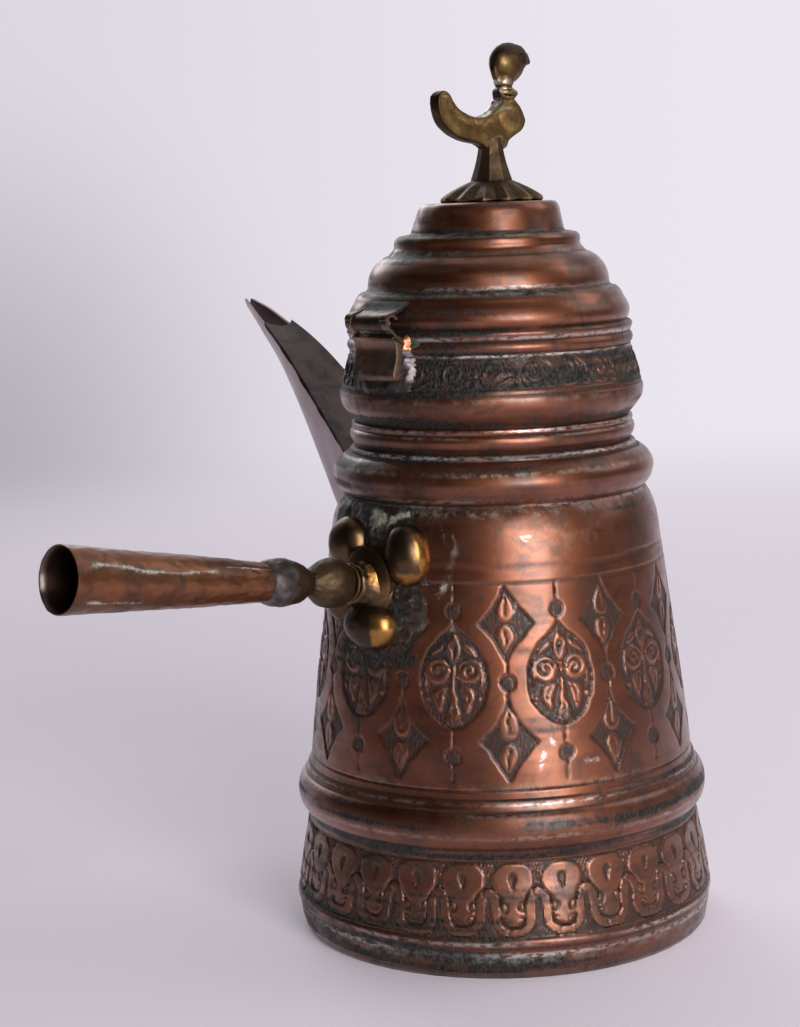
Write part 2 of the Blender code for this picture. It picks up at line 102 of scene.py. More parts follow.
def smooth(points, step):
    """A Catmull-Rom curve through the points, resampled about every step."""
    given = np.array(points, float)
    p = np.vstack([2 * given[0] - given[1], given, 2 * given[-1] - given[-2]])
    rows = []
    for i in range(1, len(p) - 2):
        a, b, c, d = p[i - 1 : i + 3]
        count = max(1, int(round(np.linalg.norm(c - b) / step)))
        t = (np.arange(count) / count)[:, None]
        rows.append(
            0.5 * (2 * b + (c - a) * t + (2 * a - 5 * b + 4 * c - d) * t**2 + (3 * b - a - 3 * c + d) * t**3)
        )
    rows.append(given[-1:])
    return np.vstack(rows)


def joined(runs, step):
    """The runs as one line with a corner where they meet."""
    parts = [smooth(run, step) for run in runs]
    return np.vstack([part[:-1] for part in parts[:-1]] + [parts[-1]])


def moved_in(line, amount):
    ahead = headings(line)
    return line - np.stack([-ahead[:, 1], ahead[:, 0]], axis=1) * amount


def ripple(seed, turns, pitch, count=14):
    """A smooth uneven field over (degrees, mm) of about +-1, the same on every run."""
    rng = np.random.default_rng(seed)
    k = rng.integers(-turns, turns + 1, count)
    q = rng.normal(0, 2 * math.pi / pitch, count)
    p = rng.uniform(0, 2 * math.pi, count)

    def field(angle, z):
        a = np.radians(angle)
        return sum(np.cos(k[i] * a + q[i] * z + p[i]) for i in range(count)) * math.sqrt(2 / count)

    return field


def bump(distance, width):
    """1 on the line, falling smoothly to 0 at width."""
    t = unit(1 - np.abs(distance) / width)
    return t * t * (3 - 2 * t)


def step_up(value, low, high):
    t = unit((value - low) / (high - low))
    return t * t * (3 - 2 * t)


def step_down(value, low, high):
    return 1 - step_up(value, low, high)


def unit(value):
    """The value held between 0 and 1."""
    return np.clip(value, 0, 1)


def headings(line):
    """The unit direction of travel at each point of a line."""
    ahead = np.gradient(line, axis=0)
    return ahead / (np.linalg.norm(ahead, axis=1)[:, None] + 1e-9)


def circle(count):
    return np.linspace(0, 2 * math.pi, count, endpoint=False)


def round_mm(angle, radius):
    """Millimetres along the skin from an angle in degrees."""
    return angle * math.radians(1) * radius


def lumpy(points, size, seed, octaves=3, fall=0.5):
    """A smooth uneven field in space of about +-1, its largest lumps size mm apart."""
    table = np.random.default_rng(seed).uniform(-1, 1, (24, 24, 24))
    total, amount, most = np.zeros(len(points)), 1.0, 0.0
    for k in range(octaves):
        q = np.asarray(points, float) * (2.0**k / size) + 5.7 * k
        whole = np.floor(q).astype(int)
        part = q - whole
        part = part * part * (3 - 2 * part)
        for corner in range(8):
            step = np.array([corner & 1, corner >> 1 & 1, corner >> 2 & 1])
            i, j, l = ((whole + step) % 24).T
            total += amount * np.prod(np.where(step, part, 1 - part), axis=1) * table[i, j, l]
        most += amount
        amount *= fall
    return total / most * 1.7


WOBBLE = ripple(3, 4, 120.0)
DENTS = ripple(5, 16, 22.0, 22)


class Tile:
    """One repeat of a chased pattern: height in mm and the masks that the materials read."""

    def __init__(self, half, low, high, step=0.14):
        self.half, self.low, self.step = half, low, step
        self.x = np.arange(-half, half + step, step)
        self.z = np.arange(low, high + step, step)
        shape = (len(self.z), len(self.x))
        self.height = np.zeros(shape)
        self.masks = {name: np.zeros(shape) for name in ("cut", "ground", "wear_and_glint")}

    def near(self, line, reach, closed=False):
        """(window, signed or plain distance, share of the way along) round a line."""
        line = np.array(line, float)
        if closed:
            line = np.vstack([line, line[:1]])
        low, high = line.min(0) - reach, line.max(0) + reach
        i = slice(*np.searchsorted(self.z, (low[1], high[1])))
        j = slice(*np.searchsorted(self.x, (low[0], high[0])))
        x, z = np.meshgrid(self.x[j], self.z[i])
        best, share, inside = np.full(x.shape, 1e9), np.zeros(x.shape), np.zeros(x.shape, bool)
        lengths = np.linalg.norm(np.diff(line, axis=0), axis=1)
        done, total = 0.0, lengths.sum()
        for (a, b), size in zip(zip(line[:-1], line[1:]), lengths):
            d = b - a
            t = unit(((x - a[0]) * d[0] + (z - a[1]) * d[1]) / max(size**2, 1e-9))
            gap = np.hypot(x - a[0] - t * d[0], z - a[1] - t * d[1])
            closer = gap < best
            best = np.where(closer, gap, best)
            share = np.where(closer, (done + t * size) / total, share)
            done += size
            if closed:
                crosses = (a[1] > z) != (b[1] > z)
                with np.errstate(divide="ignore", invalid="ignore"):
                    at = a[0] + (z - a[1]) * d[0] / (d[1] if d[1] else 1e-9)
                inside ^= crosses & (x < at)
        if closed:
            best = np.where(inside, best, -best)
        return (i, j), best, share

    def sink(self, shape, depth, soft=0.22):
        """Beats the inside of a closed shape down to a matted ground with a cut round it."""
        w, d, _ = self.near(shape, 1.5, True)
        t = step_up(d, -soft, soft)
        self.height[w] = self.height[w] * (1 - t) - depth * t
        ground = self.masks["ground"]
        ground[w] = np.maximum(ground[w], t)
        self.masks["wear_and_glint"][w] *= 1 - t

    def lift(self, shape, height, round_over=0.9, soft=0.2):
        """Leaves the inside of a closed shape standing, with rounded edges."""
        w, d, _ = self.near(shape, 1.2, True)
        t = step_up(d, -soft, soft)
        crown = 0.4 * height * step_up(d, 0, 0.7 * round_over)
        self.height[w] = self.height[w] * (1 - t) + crown * t
        self.masks["ground"][w] *= 1 - t
        self.masks["cut"][w] *= 1 - t
        wear_and_glint = self.masks["wear_and_glint"]
        wear_and_glint[w] = np.maximum(wear_and_glint[w] * (1 - t), t * 0.25 + 0.6 * bump(d - 0.3, 0.3))

    def band(self, line, half, height=0.02):
        """Leaves a strip standing along a line, cut free on both sides."""
        w, d, _ = self.near(line, half + 0.8)
        free = bump(d - half - 0.15, 0.35)
        self.height[w] -= 0.25 * free
        self.masks["cut"][w] = np.maximum(self.masks["cut"][w], free)
        t = step_down(d, half - 0.2, half + 0.1)
        self.height[w] = self.height[w] * (1 - t) + height * t
        self.masks["ground"][w] *= 1 - t
        self.masks["cut"][w] *= 1 - t
        self.masks["wear_and_glint"][w] = np.maximum(self.masks["wear_and_glint"][w] * (1 - t),
            t * 0.25 + 0.5 * bump(d - half + 0.35, 0.3))

    def groove(self, line, width, depth, dark=1.0, closed=False, taper=False):
        w, d, s = self.near(line, width + 0.3, closed)
        b = bump(d, width * (1 - 0.75 * s) if taper else width)
        self.height[w] -= depth * b
        cut = self.masks["cut"]
        cut[w] = np.maximum(cut[w], dark * b)

    def ridge(self, line, width, height, closed=False, shine=1.0, taper=False):
        w, d, s = self.near(line, width + 0.3, closed)
        b = bump(d, width * (1 - 0.7 * s) if taper else width)
        self.height[w] = np.maximum(self.height[w], self.height[w] * (1 - b) + height * b)
        self.masks["ground"][w] *= 1 - b
        self.masks["cut"][w] *= 1 - 0.8 * b
        wear_and_glint = self.masks["wear_and_glint"]
        wear_and_glint[w] = np.maximum(wear_and_glint[w], shine * b)

    def read(self, x, z):
        """(height, masks) at points given in tile millimetres."""
        u = (x + self.half) / self.step
        v = (z - self.low) / self.step
        ok = (v >= 0) & (v <= len(self.z) - 1.001)
        u = np.clip(u, 0, len(self.x) - 1.001)
        v = np.clip(v, 0, len(self.z) - 1.001)
        i, j = v.astype(int), u.astype(int)
        f, g = v - i, u - j

        def blend(a):
            top = a[i, j] * (1 - g) + a[i, j + 1] * g
            low = a[i + 1, j] * (1 - g) + a[i + 1, j + 1] * g
            return np.where(ok, top * (1 - f) + low * f, 0.0)

        return blend(self.height), {k: blend(a) for k, a in self.masks.items()}


def mirrored(half):
    """A closed outline from its right half, listed from the top to the bottom."""
    half = [tuple(p) for p in half]
    return half + [(-x, z) for x, z in reversed(half) if abs(x) > 1e-6]


def flipped(line, side):
    """The line, mirrored in the tile's middle when side is -1."""
    return [(side * a, b) for a, b in line]


def shifted(line, x):
    return [(a + x, b) for a, b in np.array(line, float)]


def ring(x, z, r, count=28):
    t = circle(count)
    return np.stack([x + r * np.cos(t), z + r * np.sin(t)], axis=1)


def coil(x, z, start_r, end_r, start_deg, turns, count=70):
    t = np.linspace(0, 1, count)
    a = np.radians(start_deg + 360 * turns * t)
    r = start_r + (end_r - start_r) * t**0.85
    return np.stack([x + r * np.cos(a), z + r * np.sin(a)], axis=1)


def leaf(top, bottom, half, widest=0.62, x=0.0):
    """A teardrop outline: pointed at the top, round at the bottom."""
    t = np.linspace(0, 1, 16)
    w = np.where(
        t < widest,
        half * np.sin(0.5 * math.pi * np.minimum(t / widest, 1.0)) ** 1.35,
        half * np.sqrt(unit(1 - ((t - widest) / (1 - widest)) ** 2)),
    )
    return shifted(mirrored([(a, top + (bottom - top) * s) for a, s in zip(w, t)]), x)


def body_tile():
    """A medallion between two columns of four-pointed stars."""
    half = 16.45
    tile = Tile(half + 1.0, 54.0, 124.5)
    outline = smooth(
        [(0, 105.8), (1.1, 104.3), (3.6, 102.0), (6.5, 99.5), (8.8, 96.0), (10.0, 92.2), (10.3, 88.8),
        (9.9, 85.2), (8.5, 81.6), (6.2, 78.6), (3.2, 76.3), (0, 75.3)], 0.8)
    medallion = mirrored(outline)
    tile.sink(medallion, 0.42)
    tile.groove(medallion, 0.85, 0.2, 1.0, True)
    for x, z in outline[4:-4:3]:
        for s in (-1, 1):
            tile.ridge([(s * x * 0.99, z), (s * x * 0.88, z - 0.5 + 0.04 * (z - 90))], 0.2, -0.12, False, 0.5)
    tile.lift(leaf(103.2, 94.2, 2.1, 0.46), 0.12)
    tile.lift([(-0.5, 94.0), (0.5, 94.0), (0.45, 88.4), (0.8, 84.0), (1.9, 78.6), (0.9, 78.2), (0, 82.0),
        (-0.9, 78.2), (-1.9, 78.6), (-0.8, 84.0), (-0.45, 88.4)], 0.08, 0.4)
    tile.groove(ring(0, 99.0, 0.75, 12), 0.6, 0.4, 1.0, True)
    tile.groove([(0, 98.2), (0, 94.8)], 0.8, 0.4, 1.0, taper=True)
    for s in (-1, 1):
        tile.lift(ring(s * 5.0, 91.9, 3.75), 0.16, 1.2)
        tail = smooth([(8.3, 95.0), (9.2, 92.0), (9.0, 88.4), (8.0, 85.6), (8.3, 88.8), (8.1, 91.6),
            (7.6, 94.2)], 0.7)
        tile.lift(flipped(tail, s), 0.08, 0.5)
        tile.groove(flipped(coil(5.0, 91.9, 2.75, 0.6, 165, -1.2), s), 0.66, 0.42)
        blade = smooth([(1.9, 87.4), (3.8, 87.2), (6.1, 86.2), (6.2, 83.8), (5.3, 81.4), (4.0, 79.4),
            (3.4, 81.2), (2.8, 84.0), (1.9, 87.4)], 0.7)
        tile.lift(flipped(blade, s), 0.14, 0.8)
        tile.groove(flipped(smooth([(3.2, 86.6), (4.4, 84.4), (4.4, 81.6)], 0.7), s), 0.5, 0.3, taper=True)
        tile.lift(ring(s * 7.9, 83.6, 0.75, 12), 0.1, 0.5)
        tile.lift(flipped(smooth([(3.0, 100.0), (5.6, 98.6), (7.4, 96.2), (5.4, 97.0), (3.2, 98.2),
            (3.0, 100.0)], 0.7), s), 0.08, 0.4)
    tile.sink([(0, 80.8), (1.6, 78.6), (3.0, 76.5), (0, 75.6), (-3.0, 76.5), (-1.6, 78.6)], 0.15)
    for k in range(-3, 4):
        tile.ridge([(0.3 * k, 79.8 - 0.3 * abs(k)), (0.9 * k, 76.1)], 0.26, 0.0, False, 0.5)
    for top, low, disc in ((117.3, 105.8, 109.4), (74.4, 59.4, 66.8)):
        tile.groove([(0, top), (0, disc + 2.2)], 0.42, 0.35)
        tile.groove([(0, disc - 2.2), (0, low)], 0.42, 0.35)
        tile.sink(ring(0, disc, 2.2), 0.22)
        tile.groove(ring(0, disc, 2.2), 0.42, 0.25, 1.0, True)
    full = [(0, 1.0), (0.19, 0.75), (0.42, 0.49), (0.7, 0.23), (1.0, 0.0)]
    lean = [(0, 1.0), (0.11, 0.78), (0.28, 0.5), (0.58, 0.23), (1.0, 0.0)]
    for x in (-half, half):
        for top, mid, low, upper in ((117.0, 105.8, 95.0, full), (83.4, 70.9, 59.2, lean)):
            up = [(8.5 * a, mid + (top - mid) * b) for a, b in upper]
            down = [(8.5 * a, mid + (low - mid) * b) for a, b in reversed(full)]
            star = shifted(mirrored(up + down[1:]), x)
            tile.sink(star, 0.38)
            tile.groove(star, 0.75, 0.15, 1.0, True)
            tile.lift(leaf(top - 1.6, mid + 0.3, 2.9, 0.62, x), 0.14)
            tile.lift([(x + a, 2 * mid - b - 0.2) for a, b in
                       leaf(2 * mid - low - 2.0, mid + 0.1, 2.7, 0.66)], 0.14)
            tile.groove([(x, top - 2.6), (x, mid + 2.6)], 0.5, 0.35)
            tile.groove([(x, mid - 1.9), (x, low + 3.4)], 0.5, 0.35)
        for a, b in ((95.0, 90.9), (86.2, 83.4)):
            tile.groove([(x, a), (x, b)], 0.5, 0.4)
        tile.sink(ring(x, 88.5, 2.3), 0.25)
        tile.groove(ring(x, 88.5, 2.3), 0.5, 0.3, 1.0, True)
    return tile


def foot_tile():
    """A lobe with a drop eye over a spreading foot, between two ogive arches."""
    half = 7.62
    tile = Tile(half + 1.0, 11.0, 36.5, 0.1)
    tile.sink([(-half - 2, 13.2), (half + 2, 13.2), (half + 2, 35.3), (-half - 2, 35.3)], 0.42)
    lobe = smooth(
        [(0, 34.9), (3.4, 34.4), (5.8, 32.6), (6.4, 30.0), (5.6, 27.5), (4.2, 25.7), (3.5, 24.2), (3.9, 22.4),
         (4.0, 20.4), (3.3, 18.8), (1.6, 17.4), (0, 16.8)], 0.6)
    tile.lift(mirrored(lobe), 0.12)
    eye = smooth([(0, 32.0), (0.9, 31.6), (1.2, 30.6), (0.9, 29.4), (0.3, 27.8), (0, 26.6)], 0.3)
    tile.sink(mirrored(eye), 0.35, 0.12)
    for s in (-1, 1):
        hook = smooth([(4.3, 23.8), (2.9, 23.6), (1.9, 22.6), (2.2, 21.2), (3.3, 21.0)], 0.4)
        tile.groove(flipped(hook, s), 0.6, 0.36)
        curl = smooth([(3.8, 19.4), (2.2, 19.2), (1.2, 18.2)], 0.4)
        tile.groove(flipped(curl, s), 0.5, 0.34, taper=True)
        tile.groove([(0, 15.4), (s * 1.6, 14.9), (s * 3.2, 15.6)], 0.45, 0.3)
        for side in (-1, 1):
            leg = smooth([(0.0, 26.6), (1.3, 25.8), (2.15, 23.8), (2.3, 21.4), (2.4, 19.2), (2.9, 17.2),
                (4.1, 15.8), (5.8, 15.0), (7.6, 14.9)], 0.5)
            tile.band([(s * half + side * a, b) for a, b in leg], 1.4)
        tile.sink([(s * half + a, b) for a, b in mirrored(smooth([(0, 25.2), (0.6, 24.4), (0.95, 22.4),
            (1.0, 18.4), (1.2, 15.8), (0, 12.4)], 0.5))], 0.4, 0.12)
        for k in range(-2, 3):
            tile.ridge([(s * half + 0.8 * k - 0.6, 34.9), (s * half + 0.8 * k + 0.4, 31.0)], 0.26, -0.1,
                False, 0.4)
    return tile


def neck_tile():
    """A volute that sends one line over the top and one underneath, ending in a small loop."""
    half = 6.02
    tile = Tile(half + 1.2, 172.0, 185.2, 0.08)
    tile.sink([(-9, 174.4), (9, 174.4), (9, 184.3), (-9, 184.3)], 0.3)
    for x in (-2 * half, 0, 2 * half):
        tile.ridge(shifted(coil(-1.9, 179.3, 0.8, 3.6, 200, 1.3), x), 0.62, 0.16)
        arch = smooth([(-2.6, 182.9), (-0.4, 183.5), (2.2, 182.8), (4.2, 181.0), (4.9, 178.9)], 0.5)
        tile.ridge(shifted(arch, x), 0.62, 0.16)
        under = smooth([(-5.4, 178.6), (-4.6, 176.3), (-2.4, 175.1), (0.2, 175.9), (2.2, 177.4), (3.8, 177.7),
                        (5.0, 176.6), (4.4, 175.2), (3.2, 175.5)], 0.4)
        tile.ridge(shifted(under, x), 0.55, 0.14)
        for a, b in (((1.4, 181.8), (2.6, 179.2)), ((3.0, 180.9), (3.5, 179.4))):
            tile.ridge(shifted([a, b], x), 0.5, 0.1, taper=True)
    return tile


# --- meshes ----------------------------------------------------------------------------


def add_object(name, data):
    made = bpy.data.objects.new(name, data)
    bpy.context.scene.collection.objects.link(made)
    return made


def piece(name, points, faces, materials, body, replaces=(), masks=None, index=None, sharp=38):
    """A mesh object from points in mm that rides a CAD body."""
    data = bpy.data.meshes.new(name)
    points = np.asarray(points, float)
    if isinstance(faces, np.ndarray):
        sizes = np.full(len(faces), faces.shape[1], np.int64)
        flat = faces.reshape(-1)
    else:
        sizes = np.array([len(f) for f in faces], np.int64)
        flat = np.fromiter((v for f in faces for v in f), np.int64, sizes.sum())
    data.vertices.add(len(points))
    data.vertices.foreach_set("co", (points * MM).astype(np.float32).reshape(-1))
    data.loops.add(len(flat))
    data.loops.foreach_set("vertex_index", flat.astype(np.int32))
    data.polygons.add(len(sizes))
    data.polygons.foreach_set("loop_start", (np.cumsum(sizes) - sizes).astype(np.int32))
    for material in materials:
        data.materials.append(material)
    if index is not None:
        data.polygons.foreach_set("material_index", np.asarray(index, np.int32))
    for mask in CUTS:
        values = (masks or {}).get(mask)
        if values is None:
            continue
        attribute = data.attributes.new(mask, "FLOAT", "POINT")
        attribute.data.foreach_set("value", unit(values).astype(np.float32))
    data.update(calc_edges=True)
    data.validate()
    data.polygons.foreach_set("use_smooth", np.ones(len(data.polygons), bool))
    data.set_sharp_from_angle(angle=math.radians(sharp))
    obj = add_object(name, data)
    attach(obj, body)
    if replaces:
        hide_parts(*replaces)
    return obj


def ring_faces(counts):
    """Faces of a closed stack of rings; where the count changes, fans join the rows."""
    starts = np.cumsum([0] + list(counts[:-1]))
    quads, fans, owners = [], [], []
    rows = len(counts)
    for i in range(rows):
        k = (i + 1) % rows
        a, b, m, n = starts[i], starts[k], counts[i], counts[k]
        if m == n:
            j = np.arange(m)
            nxt = (j + 1) % m
            quads.append(np.stack([a + j, b + j, b + nxt, a + nxt], axis=1))
            owners.append((i, m, "quad"))
        elif m > n:
            ratio = m // n
            for j in range(n):
                top = [a + (ratio * j + q) % m for q in range(ratio, -1, -1)]
                fans.append([b + j, b + (j + 1) % n] + top)
            owners.append((i, n, "fan"))
        else:
            ratio = n // m
            for j in range(m):
                low = [b + (ratio * j + q) % n for q in range(ratio + 1)]
                fans.append([a + j] + low + [a + (j + 1) % m])
            owners.append((i, m, "fan"))
    return quads, fans, owners


def turned(name, outer, inner, columns, material, inside=None, relief=None, body="pot", replaces=(),
           slot="copper", marks=(), ratio=4, placed=None, uneven=1.0, sharp=38):
    """A turned sheet: the outer line runs down, the inner one back up. relief(angle, z, row)
    gives (height, masks) on the outer side, and marks are (mask, height, half width, strength)."""
    count_in = columns // ratio
    points, masks, counts = [], {name: [] for name in CUTS}, []
    ahead = headings(outer)
    normal = np.stack([-ahead[:, 1], ahead[:, 0]], axis=1)
    total = len(outer) + len(inner)
    for i in range(total):
        is_outer = i < len(outer)
        m = columns if is_outer else count_in
        angle = 360.0 * np.arange(m) / m
        r, z = (outer[i] if is_outer else inner[i - len(outer)])
        rad = np.full(m, float(r))
        high = np.full(m, float(z))
        found = {}
        if is_outer and relief is not None:
            lift, found = relief(angle, high)
            rad = rad + normal[i, 0] * lift
            high = high + normal[i, 1] * lift
        if placed is None or callable(placed):
            rad = rad + uneven * (0.10 * WOBBLE(angle, high) + 0.045 * DENTS(angle, high)) * (rad > 20)
        else:
            rad = rad + uneven * 0.05 * DENTS(angle, high * 3.0) * (rad > 0.5)
        a = np.radians(angle)
        points.append(np.stack([rad * np.sin(a), -rad * np.cos(a), high], axis=1))
        for mask in CUTS:
            value = np.zeros(m)
            if is_outer:
                value = value + found.get(mask, 0.0)
            masks[mask].append(value)
        if is_outer:
            for mask, at, width, strength in marks:
                fade = 0.62 + 0.38 * ripple(int(at * 7) % 97 + 11, 9, 40.0)(angle, high)
                masks[mask][-1] = np.maximum(masks[mask][-1],
                    strength * bump(high - at, width) * np.clip(fade, 0.15, 1))
        counts.append(m)
    points = np.vstack(points)
    if callable(placed):
        points = placed(points)
    elif placed is not None:
        turn = np.array(placed, float)
        points = points @ turn[:3, :3].T + turn[:3, 3]
    masks = {k: np.concatenate(v) for k, v in masks.items()}
    quads, fans, owners = ring_faces(counts)
    faces = [f for block in quads for f in block.tolist()] + fans
    index = []
    for kind in ("quad", "fan"):
        for i, m, what in owners:
            if what == kind:
                index += [0 if i < len(outer) - 1 or inside is None else 1] * m
    materials = [material] + ([inside] if inside else [])
    return piece(name, points, faces, materials, body, replaces, masks, index, sharp)


# --- materials -------------------------------------------------------------------------


def rgb(r, g, b):
    """Display values 0-255 as a linear colour."""
    def lin(c):
        c /= 255.0
        return c / 12.92 if c <= 0.04045 else ((c + 0.055) / 1.055) ** 2.4
    return (lin(r), lin(g), lin(b), 1.0)


def add_node(tree, kind, inputs, out=0, **settings):
    """Adds a node, sets or links its inputs, and returns one of its outputs."""
    made = tree.nodes.new(kind)
    for key, value in settings.items():
        setattr(made, key, value)
    for key, value in inputs.items():
        if isinstance(value, bpy.types.NodeSocket):
            tree.links.new(value, made.inputs[key])
        else:
            made.inputs[key].default_value = value
    return made.outputs[out]


class Paint:
    """One material's nodes, built with short calls."""

    def __init__(self, name, like):
        self.material = bpy.data.materials.new(name)
        self.material.use_nodes = True
        self.material.diffuse_color = like
        self.tree = self.material.node_tree
        self.shader = self.tree.nodes["Principled BSDF"]
        self.at = self.tree.nodes.new("ShaderNodeTexCoord").outputs["Object"]

    def node(self, kind, inputs, out=0, **settings):
        return add_node(self.tree, kind, inputs, out, **settings)

    def stretch(self, by):
        return self.node("ShaderNodeVectorMath", {0: self.at, 1: by}, operation="MULTIPLY")

    def noise(self, scale, detail=4.0, rough=0.55, by=None, bend=0.0):
        at = self.at if by is None else self.stretch(by)
        return self.node("ShaderNodeTexNoise", {"Vector": at, "Scale": scale, "Detail": detail,
                                               "Roughness": rough, "Distortion": bend})

    def ramp(self, value, low, high, to_low=0.0, to_high=1.0):
        return self.node("ShaderNodeMapRange", {0: value, 1: low, 2: high, 3: to_low, 4: to_high},
                         interpolation_type="SMOOTHSTEP", clamp=True)

    def math(self, what, a, b=0.0, clamp=False):
        return self.node("ShaderNodeMath", {0: a, 1: b}, operation=what, use_clamp=clamp)

    def mask(self, name):
        return self.node("ShaderNodeAttribute", {}, 2, attribute_name=name, attribute_type="GEOMETRY")

    def mix(self, share, a, b, how="MIX"):
        return self.node("ShaderNodeMix", {0: share, 6: a, 7: b}, 2, data_type="RGBA", blend_type=how)

    def grade(self, share, a, b):
        return self.node("ShaderNodeMix", {0: share, 2: a, 3: b}, 0, data_type="FLOAT")

    def bump(self, height, distance, strength=1.0, under=None):
        inputs = {"Height": height, "Distance": distance, "Strength": strength}
        if under is not None:
            inputs["Normal"] = under
        return self.node("ShaderNodeBump", inputs)

    def finish(self, colour, rough, metal, normal):
        for key, value in (("Base Color", colour), ("Roughness", rough), ("Metallic", metal),
            ("Normal", normal)):
            if isinstance(value, bpy.types.NodeSocket):
                self.tree.links.new(value, self.shader.inputs[key])
            elif value is not None:
                self.shader.inputs[key].default_value = value
        return self.material


DIRT_AND_SHADE_BLACK = rgb(32, 30, 29)
DIRT_AND_SHADE_GREY = rgb(62, 58, 54)
TIN = rgb(202, 196, 190)
PALE_GREEN = rgb(140, 140, 122)


def aged_copper(name, bright, warm, brown, film=0.5, tinned=0.0, shine=(0.22, (200, 158, 132)), coat=0.85):
    """Handled copper: bare and browned patches, grime in every cut, tin and pale corrosion left in places;
    the grime colour also lays painted shade, and the shine colour a painted sheen, where the masks carry
    them.
    """
    bright, warm, brown = rgb(*bright), rgb(*warm), rgb(*brown)
    p = Paint(name, bright)
    broad = p.noise(38.0, 3.0, 0.55)
    cloud = p.noise(120.0, 6.0, 0.62, bend=0.6)
    fine = p.noise(620.0, 5.0, 0.6)
    grain = p.noise(2400.0, 3.0, 0.6)
    cut, ground, wear_and_glint = p.mask("cut"), p.mask("ground"), p.mask("wear_and_glint")
    tin, pale, soot_and_shade = p.mask("tin"), p.mask("pale"), p.mask("soot_and_shade")
    colour = p.mix(p.ramp(broad, 0.35, 0.68), bright, warm)
    colour = p.mix(p.ramp(cloud, 0.46, 0.66, 0.0, film), colour, brown)
    colour = p.mix(p.ramp(fine, 0.60, 0.74, 0.0, 0.25), colour, brown)
    colour = p.mix(p.math("MULTIPLY", wear_and_glint, shine[0]), colour, rgb(*shine[1]))
    hatch = p.ramp(p.noise(1500.0, 2.0, 0.5, by=(1.0, 1.0, 0.45)), 0.40, 0.62)
    bed = p.math("MULTIPLY", ground, p.ramp(hatch, 0.0, 1.0, 0.62, 1.0))
    dirt_and_shade = p.math("MAXIMUM", p.math("MULTIPLY", cut, 0.95), bed)
    # The soot mask brings painted shade as well as soot, so the dark laid from it is partly painted shade.
    soot_and_shade_level = p.math("MULTIPLY", soot_and_shade, p.ramp(p.math("ADD", p.math("MULTIPLY", cloud, 0.6),
        p.math("MULTIPLY", fine, 0.4)), 0.34, 0.60, 0.25, 1.0))
    soot_and_shade_level = p.math("ADD", soot_and_shade_level, p.math("MULTIPLY", p.ramp(soot_and_shade, 0.6, 1.0), 0.45), True)
    dirt_and_shade = p.math("MAXIMUM", dirt_and_shade, soot_and_shade_level, True)
    dirt_and_shade_colour = p.mix(hatch, DIRT_AND_SHADE_BLACK, DIRT_AND_SHADE_GREY)
    colour = p.mix(dirt_and_shade, colour, dirt_and_shade_colour)
    worn = p.math("MULTIPLY", tin, p.ramp(p.noise(420.0, 4.0, 0.6, by=(1.0, 1.0, 2.2)), 0.38, 0.58), True)
    if tinned:
        worn = p.math("MAXIMUM", worn, p.ramp(cloud, 0.62 - 0.25 * tinned, 0.72 - 0.2 * tinned, 0.0, 0.75))
    colour = p.mix(worn, colour, TIN)
    crust = p.math("MULTIPLY", pale, p.ramp(p.noise(300.0, 5.0, 0.65), 0.42, 0.60), True)
    crust = p.math("ADD", crust, p.ramp(pale, 0.75, 1.0, 0.0, 0.6), True)
    colour = p.mix(crust, colour, p.mix(hatch, PALE_GREEN, rgb(172, 172, 160)))
    rough = p.math("ADD", p.ramp(cloud, 0.3, 0.7, 0.32, 0.43), p.math("MULTIPLY", dirt_and_shade, 0.26))
    rough = p.math("ADD", rough, p.ramp(grain, 0.4, 0.75, 0.0, 0.05))
    rough = p.grade(crust, rough, 0.7)
    metal = p.grade(p.math("MAXIMUM", p.math("MULTIPLY", dirt_and_shade, 0.45), crust), 1.0, 0.0)
    normal = p.bump(p.noise(70.0, 2.0, 0.5), 0.0003, 0.07)
    normal = p.bump(fine, 0.00003, 0.12, normal)
    normal = p.bump(p.math("MULTIPLY", hatch, p.math("MAXIMUM", ground, 0.02)), 0.00022, 0.7, normal)
    normal = p.bump(crust, 0.0003, 0.5, normal)
    dull = p.math("MAXIMUM", p.math("MULTIPLY", dirt_and_shade, 0.85), crust, True)
    p.tree.links.new(p.grade(dull, coat, 0.0), p.shader.inputs["Coat Weight"])
    p.shader.inputs["Coat Roughness"].default_value = 0.27
    return p.finish(colour, rough, metal, normal)


def plain_metal(name, main, second, dark, rough_low=0.3, rough_high=0.5, metal=1.0, green=0.0,
    shine=(0.6, (206, 172, 124))):
    """Brass, solder and steel: two tones, dark film, and pits or lumps at the right size; the dark colour
    also lays painted shade, and the shine colour painted highlights, where the masks carry them.
    """
    main, second, dark = rgb(*main), rgb(*second), rgb(*dark)
    p = Paint(name, main)
    cloud = p.noise(150.0, 5.0, 0.6, bend=0.4)
    fine = p.noise(900.0, 5.0, 0.6)
    cut, wear_and_glint = p.mask("cut"), p.mask("wear_and_glint")
    colour = p.mix(p.ramp(cloud, 0.38, 0.64), main, second)
    film = p.math("MAXIMUM", p.ramp(fine, 0.52, 0.70, 0.0, 0.8), p.math("MULTIPLY", cut, 0.95), True)
    colour = p.mix(film, colour, dark)
    colour = p.mix(p.math("MULTIPLY", wear_and_glint, shine[0]), colour, rgb(*shine[1]))
    if green:
        colour = p.mix(p.ramp(p.noise(260.0, 5.0, 0.6), 0.60, 0.70, 0.0, green), colour, PALE_GREEN)
    rough = p.math("ADD", p.ramp(cloud, 0.3, 0.7, rough_low, rough_high), p.math("MULTIPLY", film, 0.12))
    normal = p.bump(p.noise(160.0, 3.0, 0.5), 0.0002, 0.3)
    normal = p.bump(fine, 0.0001, 0.4, normal)
    return p.finish(colour, rough, metal, normal)


COPPER = aged_copper("old_copper", (138, 80, 50), (119, 67, 42), (80, 56, 42), 0.7)
COPPER_DARK = aged_copper("browned_copper", (112, 82, 68), (92, 70, 60), (64, 55, 52), 0.9)
